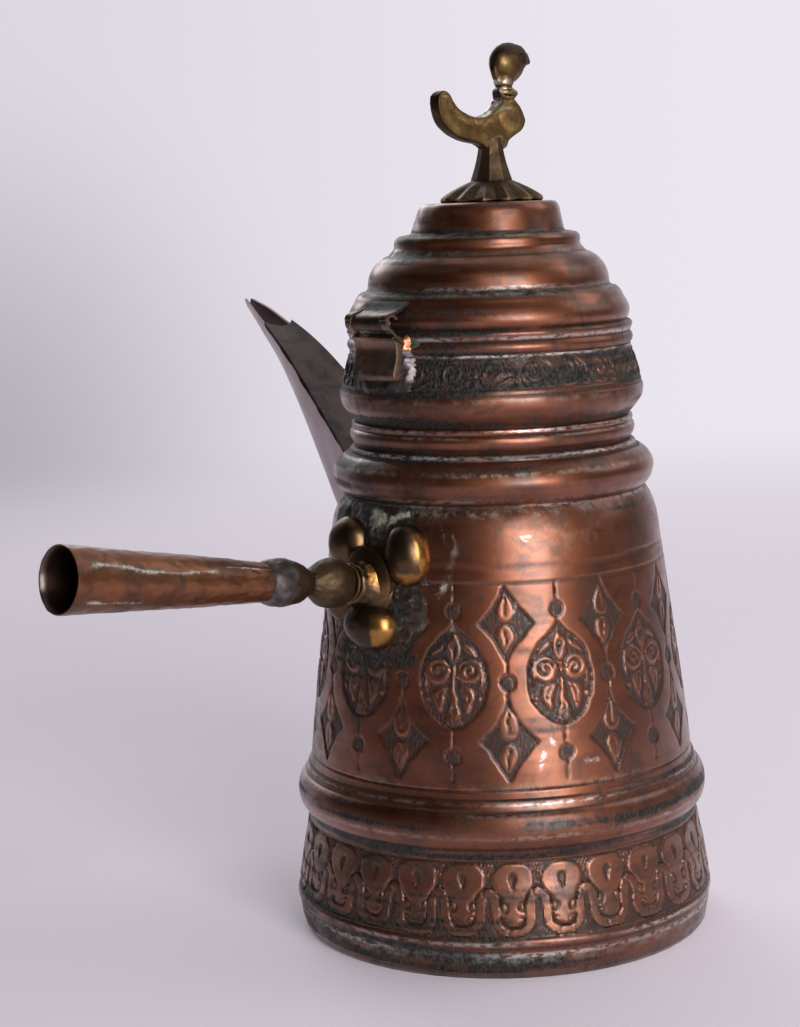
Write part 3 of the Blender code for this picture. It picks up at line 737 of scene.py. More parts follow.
# Its pale pinkish shine colour, laid on the trough's cheeks, is a painted reflection of the pale paper.
COPPER_SPOUT = aged_copper("spout_copper", (112, 86, 80), (90, 72, 68), (58, 52, 50), 0.8,
    shine=(0.7, (168, 146, 150)), coat=0.5)
COPPER_COVER = aged_copper("cover_copper", (88, 72, 66), (74, 62, 58), (52, 47, 45), 0.8, coat=0.25)
COPPER_HINGE = aged_copper("hinge_copper", (150, 116, 94), (124, 98, 82), (88, 76, 68), 0.7, coat=0.25)
COPPER_STRAP = aged_copper("strap_copper", (104, 80, 64), (86, 68, 56), (58, 50, 45), 0.8, coat=0.1)
COPPER_TUBE = aged_copper("tube_copper", (144, 92, 58), (124, 75, 47), (80, 57, 42), 0.7, coat=0.4)
COPPER_BARE = aged_copper("bare_copper", (196, 134, 92), (182, 116, 78), (130, 84, 60), 0.7)
TINNED = aged_copper("tinned_inside", (120, 112, 108), (100, 90, 84), (66, 58, 54), 0.6, 0.9)
CRUST = aged_copper("solder_crust", (100, 84, 72), (82, 70, 60), (56, 50, 46), 0.8, coat=0.25)
# Its near-white shine colour is the painted highlight on the bird's back and nape.
BIRD_BRASS = plain_metal("bird_brass", (166, 136, 84), (130, 100, 62), (62, 48, 38), 0.32, 0.46,
    shine=(0.9, (236, 234, 232)))
BRASS_DARK = plain_metal("dark_brass", (106, 86, 62), (84, 67, 52), (50, 43, 38), 0.46, 0.58)
ROSETTE_BRASS = plain_metal("rosette_brass", (124, 96, 66), (100, 78, 56), (70, 58, 47), 0.24, 0.36,
    shine=(0.95, (164, 120, 66)))
SOLDER = plain_metal("grey_solder", (132, 126, 126), (100, 92, 88), (58, 52, 50), 0.42, 0.58, green=0.4,
    shine=(0.5, (186, 182, 180)))
STEEL = plain_metal("dull_steel", (170, 166, 162), (130, 124, 118), (80, 64, 54), 0.3, 0.5)
GREEN = plain_metal("green_crust", (78, 86, 66), (62, 68, 54), (40, 44, 38), 0.6, 0.8, 0.0)


# --- the pot ---------------------------------------------------------------------------


def repeat(tile, count, start, scale_mm, low, high, seed, jitter=0.25):
    """Reads a tile round the pot, count times, each copy a little off its place and size."""
    rng = np.random.default_rng(seed)
    pitch = 360.0 / count
    shift = rng.normal(0, jitter, (count, 2))
    grow = 1 + rng.normal(0, 0.018, (count, 2))
    drift = ripple(seed + 1, count * 2, 9.0, 18)

    def relief(angle, z):
        turn = (angle - start + pitch / 2) / pitch
        n = np.floor(turn).astype(int) % count
        x = (turn - np.floor(turn) - 0.5) * pitch * scale_mm
        middle = (low + high) / 2
        edge = np.abs(x) / (pitch * scale_mm / 2)
        hold = step_down(edge, 0.55, 1.0)
        ends = step_up(z, low, low + 3) * step_down(z, high - 3, high)
        x = x * (1 + (grow[n, 0] - 1) * hold) + shift[n, 0] * hold + 0.14 * drift(angle, z)
        x = np.where(hold <= 0, (turn - np.floor(turn) - 0.5) * pitch * scale_mm, x)
        y = middle + (z - middle) * (1 + (grow[n, 1] - 1) * ends * hold) + shift[n, 1] * ends * hold
        y = y + 0.14 * drift(angle + 7.0, z) * ends
        return tile.read(x, y)

    return relief


def with_lines(relief, lines):
    """Adds lines cut round the pot: (height, half width, depth, waver)."""
    paths = [ripple(31 + i, 9, 60.0) for i in range(len(lines))]

    def both(angle, z):
        if relief is None:
            lift, masks = np.zeros(len(angle)), {}
        else:
            lift, masks = relief(angle, z)
        cut = masks.get("cut", np.zeros(len(angle)))
        for (at, width, depth, waver), path in zip(lines, paths):
            b = bump(z - at - waver * path(angle, np.full(len(angle), at)), width)
            lift = lift - depth * b
            cut = np.maximum(cut, b)
        masks = dict(masks)
        masks["cut"] = cut
        return lift, masks

    return both


def with_soot_and_shade(relief, amount):
    """Adds the grey film that is thickest round the handle and above and below the plain bands; where the
    amount asks for it, the same mask lays painted shade.
    """
    cloud = ripple(77, 5, 70.0)
    streaks = ripple(78, 7, 3.4, 26)

    def both(angle, z):
        lift, masks = relief(angle, z) if relief is not None else (np.zeros(len(angle)), {})
        masks = dict(masks)
        masks["soot_and_shade"] = unit(amount(angle, z) + 0.10 * cloud(angle, z) + 0.16 * streaks(angle, z))
        return lift, masks

    return both


def from_handle(angle):
    """How far round from the handle side, 0-180 degrees."""
    return np.abs((angle + 180.0) % 360.0 - 180.0)


SMEARS = ((57.4, 66.0, 1.0, 3.6, 0.25), (72.7, 63.6, 2.6, 0.9, 0.3), (60.6, 70.8, 0.8, 1.6, -0.3),
    (51.0, 110.0, 0.8, 2.6, 0.2), (55.0, 131.0, 2.2, 0.9, -0.3))


def bloomed(relief):
    """Adds a pale arc beyond the rosette's right lobe, and small silvery smears on the bare copper."""
    def both(angle, z):
        lift, masks = relief(angle, z)
        x = ((angle + 180.0) % 360.0 - 180.0) * math.radians(ROSETTE_R)
        p = np.stack([x, 0 * x, z], axis=1)
        r = np.hypot(x - 14.5, z - HANDLE_Z - 9.4) + 1.4 * lumpy(p, 6.0, 141)
        arc = bump(r - 15.6, 2.8) * step_up(x, 15.0, 21.0) * (0.45 + 0.9 * lumpy(p, 4.0, 142))
        tin = np.zeros(len(x))
        for a, at, wide, tall, slant in SMEARS:
            u, v = x - math.radians(ROSETTE_R) * a - slant * (z - at), z - at
            tin = np.maximum(tin, step_down(np.hypot(u / wide, v / tall) + 0.5 * lumpy(p, 1.6, 143), 0.5,
                1.0))
        masks = dict(masks)
        masks["pale"] = unit(arc)
        masks["tin"] = 0.7 * tin
        return lift, masks

    return both


def make_body():
    tile = body_tile()
    relief = repeat(tile, MEDALLIONS, -1.3, round_mm(1, BODY_R), 57.0, 119.0, 8)
    relief = with_lines(relief, [(122.5, 0.62, 0.35, 0.12), (117.7, 0.5, 0.3, 0.06), (56.6, 0.45, 0.28, 0.05),
        (54.6, 0.5, 0.2, 0.0)])

    def film(angle, z):
        near = step_down(from_handle(angle + 3), 18.0, 30.0)
        upper = near * step_up(z, 78.0, 98.0)
        collar = step_up(z, 129.0, 139.0) * (0.55 + 0.45 * near)
        # The third term is painted shade, not soot: it darkens the side of the pot turned away from the
        # lamps, angles 210-346.
        return np.maximum(np.maximum(0.85 * upper, collar), 0.42 * step_up(-angle % 360.0, 14, 40)
            * step_down(-angle % 360.0, 110, 150))

    relief = bloomed(with_soot_and_shade(relief, film))
    outer = np.vstack([joined([BODY[0]], 0.8)[:-1], smooth(BODY[1], 0.5)])
    inner_line = moved_in(joined(BODY, 2.4), 1.3)[::-1]
    turned("body_skin", outer, inner_line, 704, COPPER, TINNED, relief, replaces=["body_shell"], marks=[
        ("tin", 139.6, 0.8, 0.9), ("pale", 138.0, 1.6, 0.5), ("pale", 131.0, 8.0, 0.12),
        ("cut", 54.2, 1.0, 0.9), ("pale", 57.5, 2.0, 0.3)])


def make_foot():
    tile = foot_tile()
    relief = repeat(tile, FOOT_LOBES, 47.7, round_mm(1, FOOT_R), 12.6, 36.0, 21, 0.12)
    relief = with_lines(relief, [(12.7, 0.6, 0.35, 0.05), (9.6, 0.5, 0.3, 0.0), (35.4, 0.5, 0.25, 0.06)])
    relief = with_soot_and_shade(relief, lambda a, z: 0.25 + 0.35 * step_down(from_handle(a), 30, 80) + 0.3 * (z < 9))
    outer = np.vstack([smooth(FOOT[0], 0.46)[:-1], smooth(FOOT[1], 0.5)[:-1], smooth(FOOT[2], 0.6)])
    inner = moved_in(joined(FOOT, 2.0), 1.2)[::-1]
    turned("foot_skin", outer, inner[:-1], FOOT_LOBES * 34, COPPER, COPPER_DARK, relief,
        replaces=["foot_skirt"], ratio=6, marks=[
        ("tin", 11.2, 0.9, 1.0), ("tin", 7.6, 1.3, 0.9), ("soot_and_shade", 4.4, 2.6, 0.9), ("pale", 6.0, 1.8, 0.4)])


def make_waist():
    outer = joined(WAIST, 0.55)
    relief = with_soot_and_shade(with_lines(None, [(50.9, 0.5, 0.15, 0.0), (39.2, 0.6, 0.15, 0.0)]),
                    lambda a, z: 0.75 * step_down(z, 38.8, 40.2) + 0.3 * step_up(z, 50.0, 51.6) + 0.12 + 0.62
                    * bump(z - 46.4, 3.4) ** 0.5)
    turned("waist_skin", outer, moved_in(joined(WAIST, 1.6), 1.1)[::-1], 320, COPPER, COPPER_DARK, relief,
           replaces=["waist_bead"], marks=[("pale", 43.4, 0.6, 1.0), ("tin", 43.0, 0.8, 0.3),
           ("tin", 49.8, 0.6, 0.8), ("tin", 52.6, 0.8, 0.8),
                                           ("cut", 53.9, 0.8, 1.0), ("cut", 36.2, 0.8, 1.0)])


def make_neck():
    tile = neck_tile()
    relief = repeat(tile, SCROLLS, 4.0, round_mm(1, NECK_R), 173.4, 184.6, 44, 0.1)
    relief = with_lines(relief, [(172.9, 0.5, 0.25, 0.05), (163.2, 0.7, 0.1, 0.0)])
    relief = with_soot_and_shade(relief, lambda a, z: np.maximum(0.8 * step_down(from_handle(a), 34, 70), 0.5)
        * step_up(z, 171.0, 175.0)
                    + 0.6 * step_down(z, 164.5, 167.5) + 0.22 + 0.3 * step_down(from_handle(a + 12), 20, 60))
    outer = np.vstack([smooth(NECK[0], 0.34)[:-1], smooth(NECK[1], 0.6)[:-1], smooth(NECK[2], 0.6)])
    inner = moved_in(joined(NECK, 1.5), 1.2)[::-1]
    tube = smooth([(42.0, 162.4), (42.0, 150.0), (42.0, 137.2)], 3.0)
    back = np.vstack([[(43.0, 160.0), (43.0, 137.4)], [(42.0, 137.2)], [(42.0, 150.0)], inner[1:-1],
        [(42.3, 185.0)]])
    top = np.array([(42.4, 192.0), (43.5, 192.0), (43.7, 188.0)])
    turned("neck_skin", np.vstack([top, outer]), np.vstack([back, [(42.3, 191.7)]]), 864, COPPER, TINNED,
        relief,
           replaces=["neck_shell"], marks=[("pale", 184.7, 1.0, 1.0), ("tin", 184.4, 0.8, 0.9),
           ("cut", 173.0, 0.8, 0.9),
                                            ("cut", 163.4, 1.0, 1.0), ("pale", 171.2, 1.2, 0.35)])
    turned("collar_skin", joined(COLLAR, 0.35), np.array([(43.7, 184.8), (43.5, 188.0), (43.4, 192.2)]), 288,
        COPPER, TINNED,
           with_soot_and_shade(with_lines(None, [(188.7, 0.4, 0.1, 0.0)]), lambda a,
           z: 0.40 + 0.4 * (z > 190.6) + 0.3 * step_down(from_handle(a), 20, 60)),
           replaces=["neck_collar"], marks=[("tin", 189.6, 0.9, 0.9), ("cut", 188.6, 0.6, 1.0),
           ("cut", 184.9, 0.6, 1.0),
                                             ("cut", 192.0, 1.0, 1.0)])
    turned("neck_bead_skin", joined(NECK_BEAD, 0.35), np.array([(42.9, 155.0), (42.9, 162.5)]), 288, COPPER,
        TINNED,
           with_soot_and_shade(None, lambda a, z: 0.2 + 0.4 * (z < 156) + 0.35 * step_down(from_handle(a + 12), 20, 60)),
           replaces=["neck_bead"],
           marks=[("tin", 161.9, 0.9, 1.0), ("cut", 160.7, 0.5, 1.0), ("tin", 160.0, 0.5, 0.7),
           ("cut", 155.3, 1.0, 1.0)])
    turned("shoulder_skin", joined(SHOULDER, 0.5), moved_in(joined(SHOULDER, 1.6), 1.1)[::-1], 320, COPPER,
        TINNED,
           with_soot_and_shade(with_lines(None, [(153.1, 0.5, 0.2, 0.05)]), lambda a,
           z: 0.14 + 0.6 * (z > 152.6) + 0.5 * bump(z - 150.8, 1.9) + 0.3
           * step_down(from_handle(a + 12), 20, 60) + 0.4 * step_down(z, 140.5, 142.5)),
           replaces=["shoulder_bead"],
           marks=[("tin", 154.2, 0.8, 0.9), ("cut", 153.1, 0.7, 1.0), ("pale", 149.6, 1.2, 0.6),
           ("cut", 140.0, 0.9, 1.0), ("tin", 141.6, 0.9, 0.5)])


def leaned(points):
    """The lid's top sits a little crooked, towards +X +Y."""
    drift = 0.085 * np.clip(points[:, 2] - 216.0, 0, 16)
    return points + np.stack([drift * CAMERA_RIGHT[0], drift * CAMERA_RIGHT[1], np.zeros(len(points))],
        axis=1)


def make_lid():
    outer = joined(LID, 0.55)
    inner = moved_in(joined(LID[1:-1], 1.8), 1.2)[::-1]
    inner = np.vstack([inner, [(17.0, 228.3), (8.0, 228.3), (2.0, 228.3)]])
    ridges = with_lines(None, [(220.6, 0.5, 0.15, 0.0), (214.0, 0.5, 0.12, 0.0), (203.4, 0.5, 0.12, 0.0)])
    relief = with_soot_and_shade(ridges, lambda a, z: 0.08 + 0.9 * bump(z - 202.7, 1.9) + 0.6 * bump(z - 192.0, 2.4) + 0.9
        * bump(z - 220.3, 1.7)
                    + 0.6 * bump(z - 214.2, 1.8) + 0.42 * step_down(from_handle(a + 30), 26, 60) + 0.25
                    * bump(z - 197.0, 2.0))
    turned("lid_skin", outer, inner, 320, COPPER, TINNED, relief, body="lid", replaces=["lid_shell"],
        placed=leaned, marks=[
        ("tin", 204.2, 0.6, 0.9), ("pale", 202.6, 1.3, 0.6), ("pale", 214.4, 1.4, 0.6),
        ("cut", 220.4, 0.8, 0.9),
        ("pale", 219.8, 1.2, 0.6), ("cut", 229.8, 0.6, 0.5)])


def shells(parts):
    """Several closed meshes as one list of points and faces."""
    points, faces, start = [], [], 0
    for some, several in parts:
        points.append(np.asarray(some, float))
        faces += [tuple(v + start for v in face) for face in several]
        start += len(some)
    return np.vstack(points), faces


def loft(sections):
    """Closed rings joined in order, with a flat face at each end."""
    m = len(sections[0])
    faces = [tuple(range(m))]
    for k in range(len(sections) - 1):
        for i in range(m):
            j = (i + 1) % m
            faces.append((k * m + j, k * m + i, (k + 1) * m + i, (k + 1) * m + j))
    last = (len(sections) - 1) * m
    faces.append(tuple(reversed(range(last, last + m))))
    return np.vstack(sections), faces


def facing_out(points, faces):
    """The faces, turned round if the closed mesh is inside out."""
    points = np.asarray(points, float)
    volume = 0.0
    for face in faces:
        a = points[face[0]]
        for i in range(1, len(face) - 1):
            volume += np.dot(a, np.cross(points[face[i]], points[face[i + 1]]))
    return faces if volume > 0 else [tuple(reversed(face)) for face in faces]


def tube(path, radius, sides=10):
    """A round bead along a path; radius is one number or one for each point."""
    path = np.array(path, float)
    radius = np.broadcast_to(radius, (len(path),))
    ahead = headings(path)
    side = np.cross(ahead, (0.0, 0.3, 1.0))
    side /= np.linalg.norm(side, axis=1)[:, None] + 1e-9
    up = np.cross(side, ahead)
    t = circle(sides)
    rings = [p + r * (np.cos(t)[:, None] * a + np.sin(t)[:, None] * b) for p, r, a,
        b in zip(path, radius, side, up)]
    points, faces = loft(rings)
    return points, facing_out(points, faces)


def swept(outline, low, high, slices=28, round_mm=0.35, rough=0.0, seed=1, size=5.0):
    """A closed (y, z) outline pushed along X, its ends rounded and its surface uneven."""
    outline = np.array(outline, float)
    ahead = np.roll(outline, -1, 0) - np.roll(outline, 1, 0)
    ahead /= np.linalg.norm(ahead, axis=1)[:, None] + 1e-9
    area = np.sum(outline[:, 0] * np.roll(outline[:, 1], -1) - np.roll(outline[:, 0], -1) * outline[:, 1])
    out = np.stack([ahead[:, 1], -ahead[:, 0]], axis=1) * (1 if area > 0 else -1)
    ends = round_mm * np.array([0.0, 0.3, 1.0])
    x = np.concatenate([low + ends, np.linspace(low + 2 * round_mm, high - 2 * round_mm, slices),
        high - ends[::-1]])
    inset = np.concatenate([[round_mm, 0.3 * round_mm, 0.0], np.zeros(slices),
        [0.0, 0.3 * round_mm, round_mm]])
    rings = []
    for at, less in zip(x, inset):
        ring = np.stack([np.full(len(outline), at), outline[:, 0], outline[:, 1]], axis=1)
        shake = rough * lumpy(ring, size, seed, 2) if rough else 0.0
        ring[:, 1:] -= out * np.broadcast_to(less - shake, (len(outline),))[:, None]
        rings.append(ring)
    points, faces = loft(rings)
    return points, facing_out(points, faces)


def strip(path, thick):
    """The closed outline of a bent sheet from its middle line."""
    path = np.array(path, float)
    ahead = headings(path)
    side = np.stack([-ahead[:, 1], ahead[:, 0]], axis=1) * thick / 2
    tips = [path[-1:] + ahead[-1:] * thick * 0.3, path[:1] - ahead[:1] * thick * 0.3]
    return np.vstack([path + side, tips[0], (path - side)[::-1], tips[1]])


SKIN = {}
for runs in (COLLAR, NECK, NECK_BEAD, SHOULDER, BODY, LID[1:]):
    line = joined(runs, 0.5)
    for radius, height in line:
        key = round(float(height), 1)
        SKIN[key] = max(SKIN.get(key, 0.0), float(radius))
SKIN_Z = np.array(sorted(SKIN))
SKIN_R = np.array([SKIN[k] for k in sorted(SKIN)])


def patch(name, angles, heights, lift, material, body, step=0.5, masks=None):
    """A crust on the pot's skin: lift(angle, z, points) is its height in mm, and below 0 it's hidden."""
    radius = float(np.interp(np.mean(heights), SKIN_Z, SKIN_R))
    columns = int(round_mm(angles[1] - angles[0], radius) / step) + 2
    rows = int((heights[1] - heights[0]) / step) + 2
    a, z = np.meshgrid(np.linspace(*angles, columns), np.linspace(heights[1], heights[0], rows))
    a, z = a.ravel(), z.ravel()
    turn = np.radians(a)

    def at(r):
        return np.stack([r * np.sin(turn), -r * np.cos(turn), z], axis=1)

    base = np.interp(z, SKIN_Z, SKIN_R)
    flat = at(base)
    top, low = at(base + np.clip(lift(a, z, flat), -0.5, 3.2)), at(base - 0.8)
    size = rows * columns
    faces = []
    for i in range(rows - 1):
        for j in range(columns - 1):
            p = i * columns + j
            faces.append((p, p + columns, p + columns + 1, p + 1))
            faces.append((size + p, size + p + 1, size + p + columns + 1, size + p + columns))
    border = list(range(columns)) + [i * columns + columns - 1 for i in range(1, rows)]
    border += [(rows - 1) * columns + j for j in range(columns - 2, -1, -1)] + [i * columns
        for i in range(rows - 2, 0, -1)]
    for i, p in enumerate(border):
        q = border[(i + 1) % len(border)]
        faces.append((p, q, size + q, size + p))
    points = np.vstack([top, low])
    found = {k: np.tile(f(a, z, flat), 2) for k, f in (masks or {}).items()}
    return piece(name, points, facing_out(points, faces), [material], body, (), found)


# --- handle ----------------------------------------------------------------------------

HANDLE_TURN = Matrix.Translation((0, HANDLE_Y, HANDLE_Z)) @ Matrix.Rotation(math.radians(90 - HANDLE_RISE), 4,
    "X")


def solid_line(runs, step):
    """A turned solid's line with its ends closed down to a hair round the axis."""
    line = joined(runs, step)
    return np.vstack([[(0.04, line[0, 1])], line, [(0.04, line[-1, 1])]])


def cast(name, runs, step, columns, material, **more):
    """A turned solid, closed down to its axis."""
    return turned(name, solid_line(runs, step), np.zeros((0, 2)), columns, material, ratio=1, **more)


def make_handle():
    rough = ripple(61, 12, 3.0, 20)
    knock = ripple(62, 6, 9.0, 16)

    def worn(angle, s, amount=0.08):
        return amount * knock(angle, s) + 0.3 * amount * rough(angle, s)

    boss = [[(5.2, 9.0), (5.9, 8.7), (6.2, 8.0), (6.6, 6.6), (7.8, 4.4), (9.6, 2.6), (10.9, 1.0)]]

    def hub(angle, s):
        p = np.stack([angle * 0.15, 0 * s, s], axis=1)
        edge = 1.2 * lumpy(p, 2.0, 66)
        wedge = bump((angle + edge * 3 - 118.0) * 0.8, 24.0) ** 0.25 * step_up(s + 0.3 * edge, 1.6,
            2.2) * step_up(7.4 - s + 0.3 * edge, 0, 0.5)
        wedge = wedge * (np.abs(angle + 3 * edge - 118.0) < 26)
        dark = unit(0.45 + 0.5 * lumpy(p, 4.0, 67))
        return worn(angle, s, 0.12), {"wear_and_glint": np.maximum(wedge, 0.3 * bump(s - 8.7, 0.4)),
            "cut": dark * (1 - wedge)}

    cast("handle_boss_cap", boss, 0.35, 120, ROSETTE_BRASS, replaces=["handle_boss"], slot="dark_brass",
           relief=hub, placed=HANDLE_TURN)
    washer = [[(4.6, 10.3), (5.5, 10.1), (5.8, 9.7), (5.6, 9.2), (5.2, 8.9)]]
    cast("handle_washer_ring", washer, 0.2, 64, BRASS_DARK, replaces=["handle_washer"], slot="copper",
           relief=lambda a, s: (worn(a, s, 0.04), {"wear_and_glint": 0.2 * bump(s - 9.9, 0.4), "cut": 0.5 + 0 * s}),
           placed=HANDLE_TURN)
    baluster = [
        [(4.6, 37.2), (4.9, 36.6), (6.6, 35.6), (6.95, 34.4), (6.7, 32.4), (5.9, 29.8), (4.9, 27.8),
        (3.8, 26.0), (3.45, 25.4)],
        [(3.45, 25.4), (3.8, 24.7), (4.9, 23.2), (6.4, 20.9), (7.3, 18.6), (7.5, 16.4), (7.2, 14.0),
        (6.5, 12.4)],
        [(6.5, 12.4), (5.8, 12.0), (4.4, 11.9)],
        [(4.4, 11.9), (4.1, 11.2), (4.1, 9.8)],
    ]
    cast("handle_baluster_body", baluster, 0.4, 96, BRASS_DARK, replaces=["handle_baluster"],
           slot="brass", relief=lambda a, s: (worn(a, s, 0.05),
                                              {"cut": 0.3 + 0.7 * bump(s - 11.4, 0.7) + 0.6
                                              * bump(s - 25.4, 1.2), "wear_and_glint": 0.5 * bump(s - 12.6, 0.4)}),
           placed=HANDLE_TURN)
    ferrule = [[(6.0, 43.2), (6.3, 42.2), (6.8, 40.2), (7.15, 37.6), (7.1, 35.2), (6.8, 33.4), (6.4, 32.6)]]

    def around(angle, s):
        a = np.radians(angle)
        return np.stack([7 * np.sin(a), 7 * np.cos(a), s], axis=1)

    def lumps(angle, s):
        p = around(angle, s)
        edge = 0.6 * lumpy(p, 4.0, 21)
        lift = 0.20 * lumpy(p, 3.2, 22) - 0.7 * step_up(s, 41.2 + edge, 43.2) - 0.9 * step_down(s, 32.6,
            34.6 + edge)
        grey = lumpy(p, 5.0, 23)
        return lift, {"cut": np.clip(0.35 - 0.8 * grey, 0, 0.9),
            "wear_and_glint": np.clip(0.5 * lumpy(p, 2.2, 24), 0, 0.5)}

    cast("handle_ferrule_solder", ferrule, 0.3, 120, SOLDER, replaces=["handle_ferrule"],
           slot="steel", relief=lumps, placed=HANDLE_TURN)
    outside = [[(9.35, 113.3), (9.65, 113.25), (9.75, 112.6)],
        [(9.75, 112.6), (9.1, 102.0), (8.5, 90.0), (7.2, 64.0), (6.1, 47.0), (5.8, 42.0), (5.8, 38.9)]]
    inside = np.array([(4.9, 38.9), (5.1, 44.0), (6.3, 64.2), (7.6, 90.2), (8.7, 111.0), (9.1, 113.0)])

    def streak(angle, s, middle, width, low, high, seed):
        p = around(angle, s * 0.16)
        wave = middle + 5.0 * lumpy(np.stack([s, 0 * s, 0 * s], axis=1), 11.0, seed, 2)
        return bump(angle - wave, width * (1 + 0.5 * lumpy(p, 5.0, seed + 1))) * step_up(s, low,
            low + 4) * step_down(s, high - 6, high) \
            * unit(0.65 + 0.9 * lumpy(p, 6.0, seed + 2))

    def drawn(angle, s):
        pale = np.maximum(streak(angle, s, 116, 7, 62, 111, 31), streak(angle, s, 128, 6, 43, 64, 35))
        pale = np.maximum(pale, 0.8 * streak(angle, s, 52, 6, 88, 112, 39))
        edge = streak(angle, s, 107, 7, 60, 112, 31)
        fresh = streak(angle, s, 120, 14, 58, 92, 47)
        p = around(angle, s * 0.4)
        top = 0.5 * bump(angle - 185.0, 45.0) * unit(lumpy(p, 6.0, 51))
        return 0.03 * knock(angle, s * 0.3) + 0.10 * pale, {
            "pale": unit(1.35 * pale + top), "cut": unit(0.8 * edge + 0.7 * bump(s - 42.5, 2.0) + 0.8
            * bump(s - 113.0, 0.5)),
            "soot_and_shade": np.clip(0.25 + 0.4 * lumpy(p, 9.0, 52), 0, 0.8), "wear_and_glint": 0.9 * fresh * (1 - pale)}

    turned("handle_tube_skin", joined(outside, 0.9), inside, 144, COPPER_TUBE, COPPER_DARK,
        replaces=["handle_tube"],
           relief=drawn, placed=HANDLE_TURN, ratio=2)


def egg(centre, radii, turn_deg, seed, rows=34, columns=56):
    """A cast lobe: an egg, its surface a little uneven."""
    rings = []
    turn = math.radians(turn_deg)
    t = circle(columns)
    for i in range(rows + 1):
        p = math.pi * (0.012 + 0.976 * i / rows)
        x, y, z = math.sin(p) * np.cos(t), np.full(columns, -math.cos(p)), math.sin(p) * np.sin(t)
        local = np.stack([x * radii[0], y * radii[1], z * radii[2]], axis=1)
        x, y, z = (local * (1 + 0.02 * lumpy(local, 4.0, seed, 2))[:, None]).T
        rings.append(np.stack([centre[0] + x * math.cos(turn) - z * math.sin(turn), centre[1] + y,
                               centre[2] + x * math.sin(turn) + z * math.cos(turn)], axis=1))
    points, faces = loft(rings)
    return points, facing_out(points, faces)


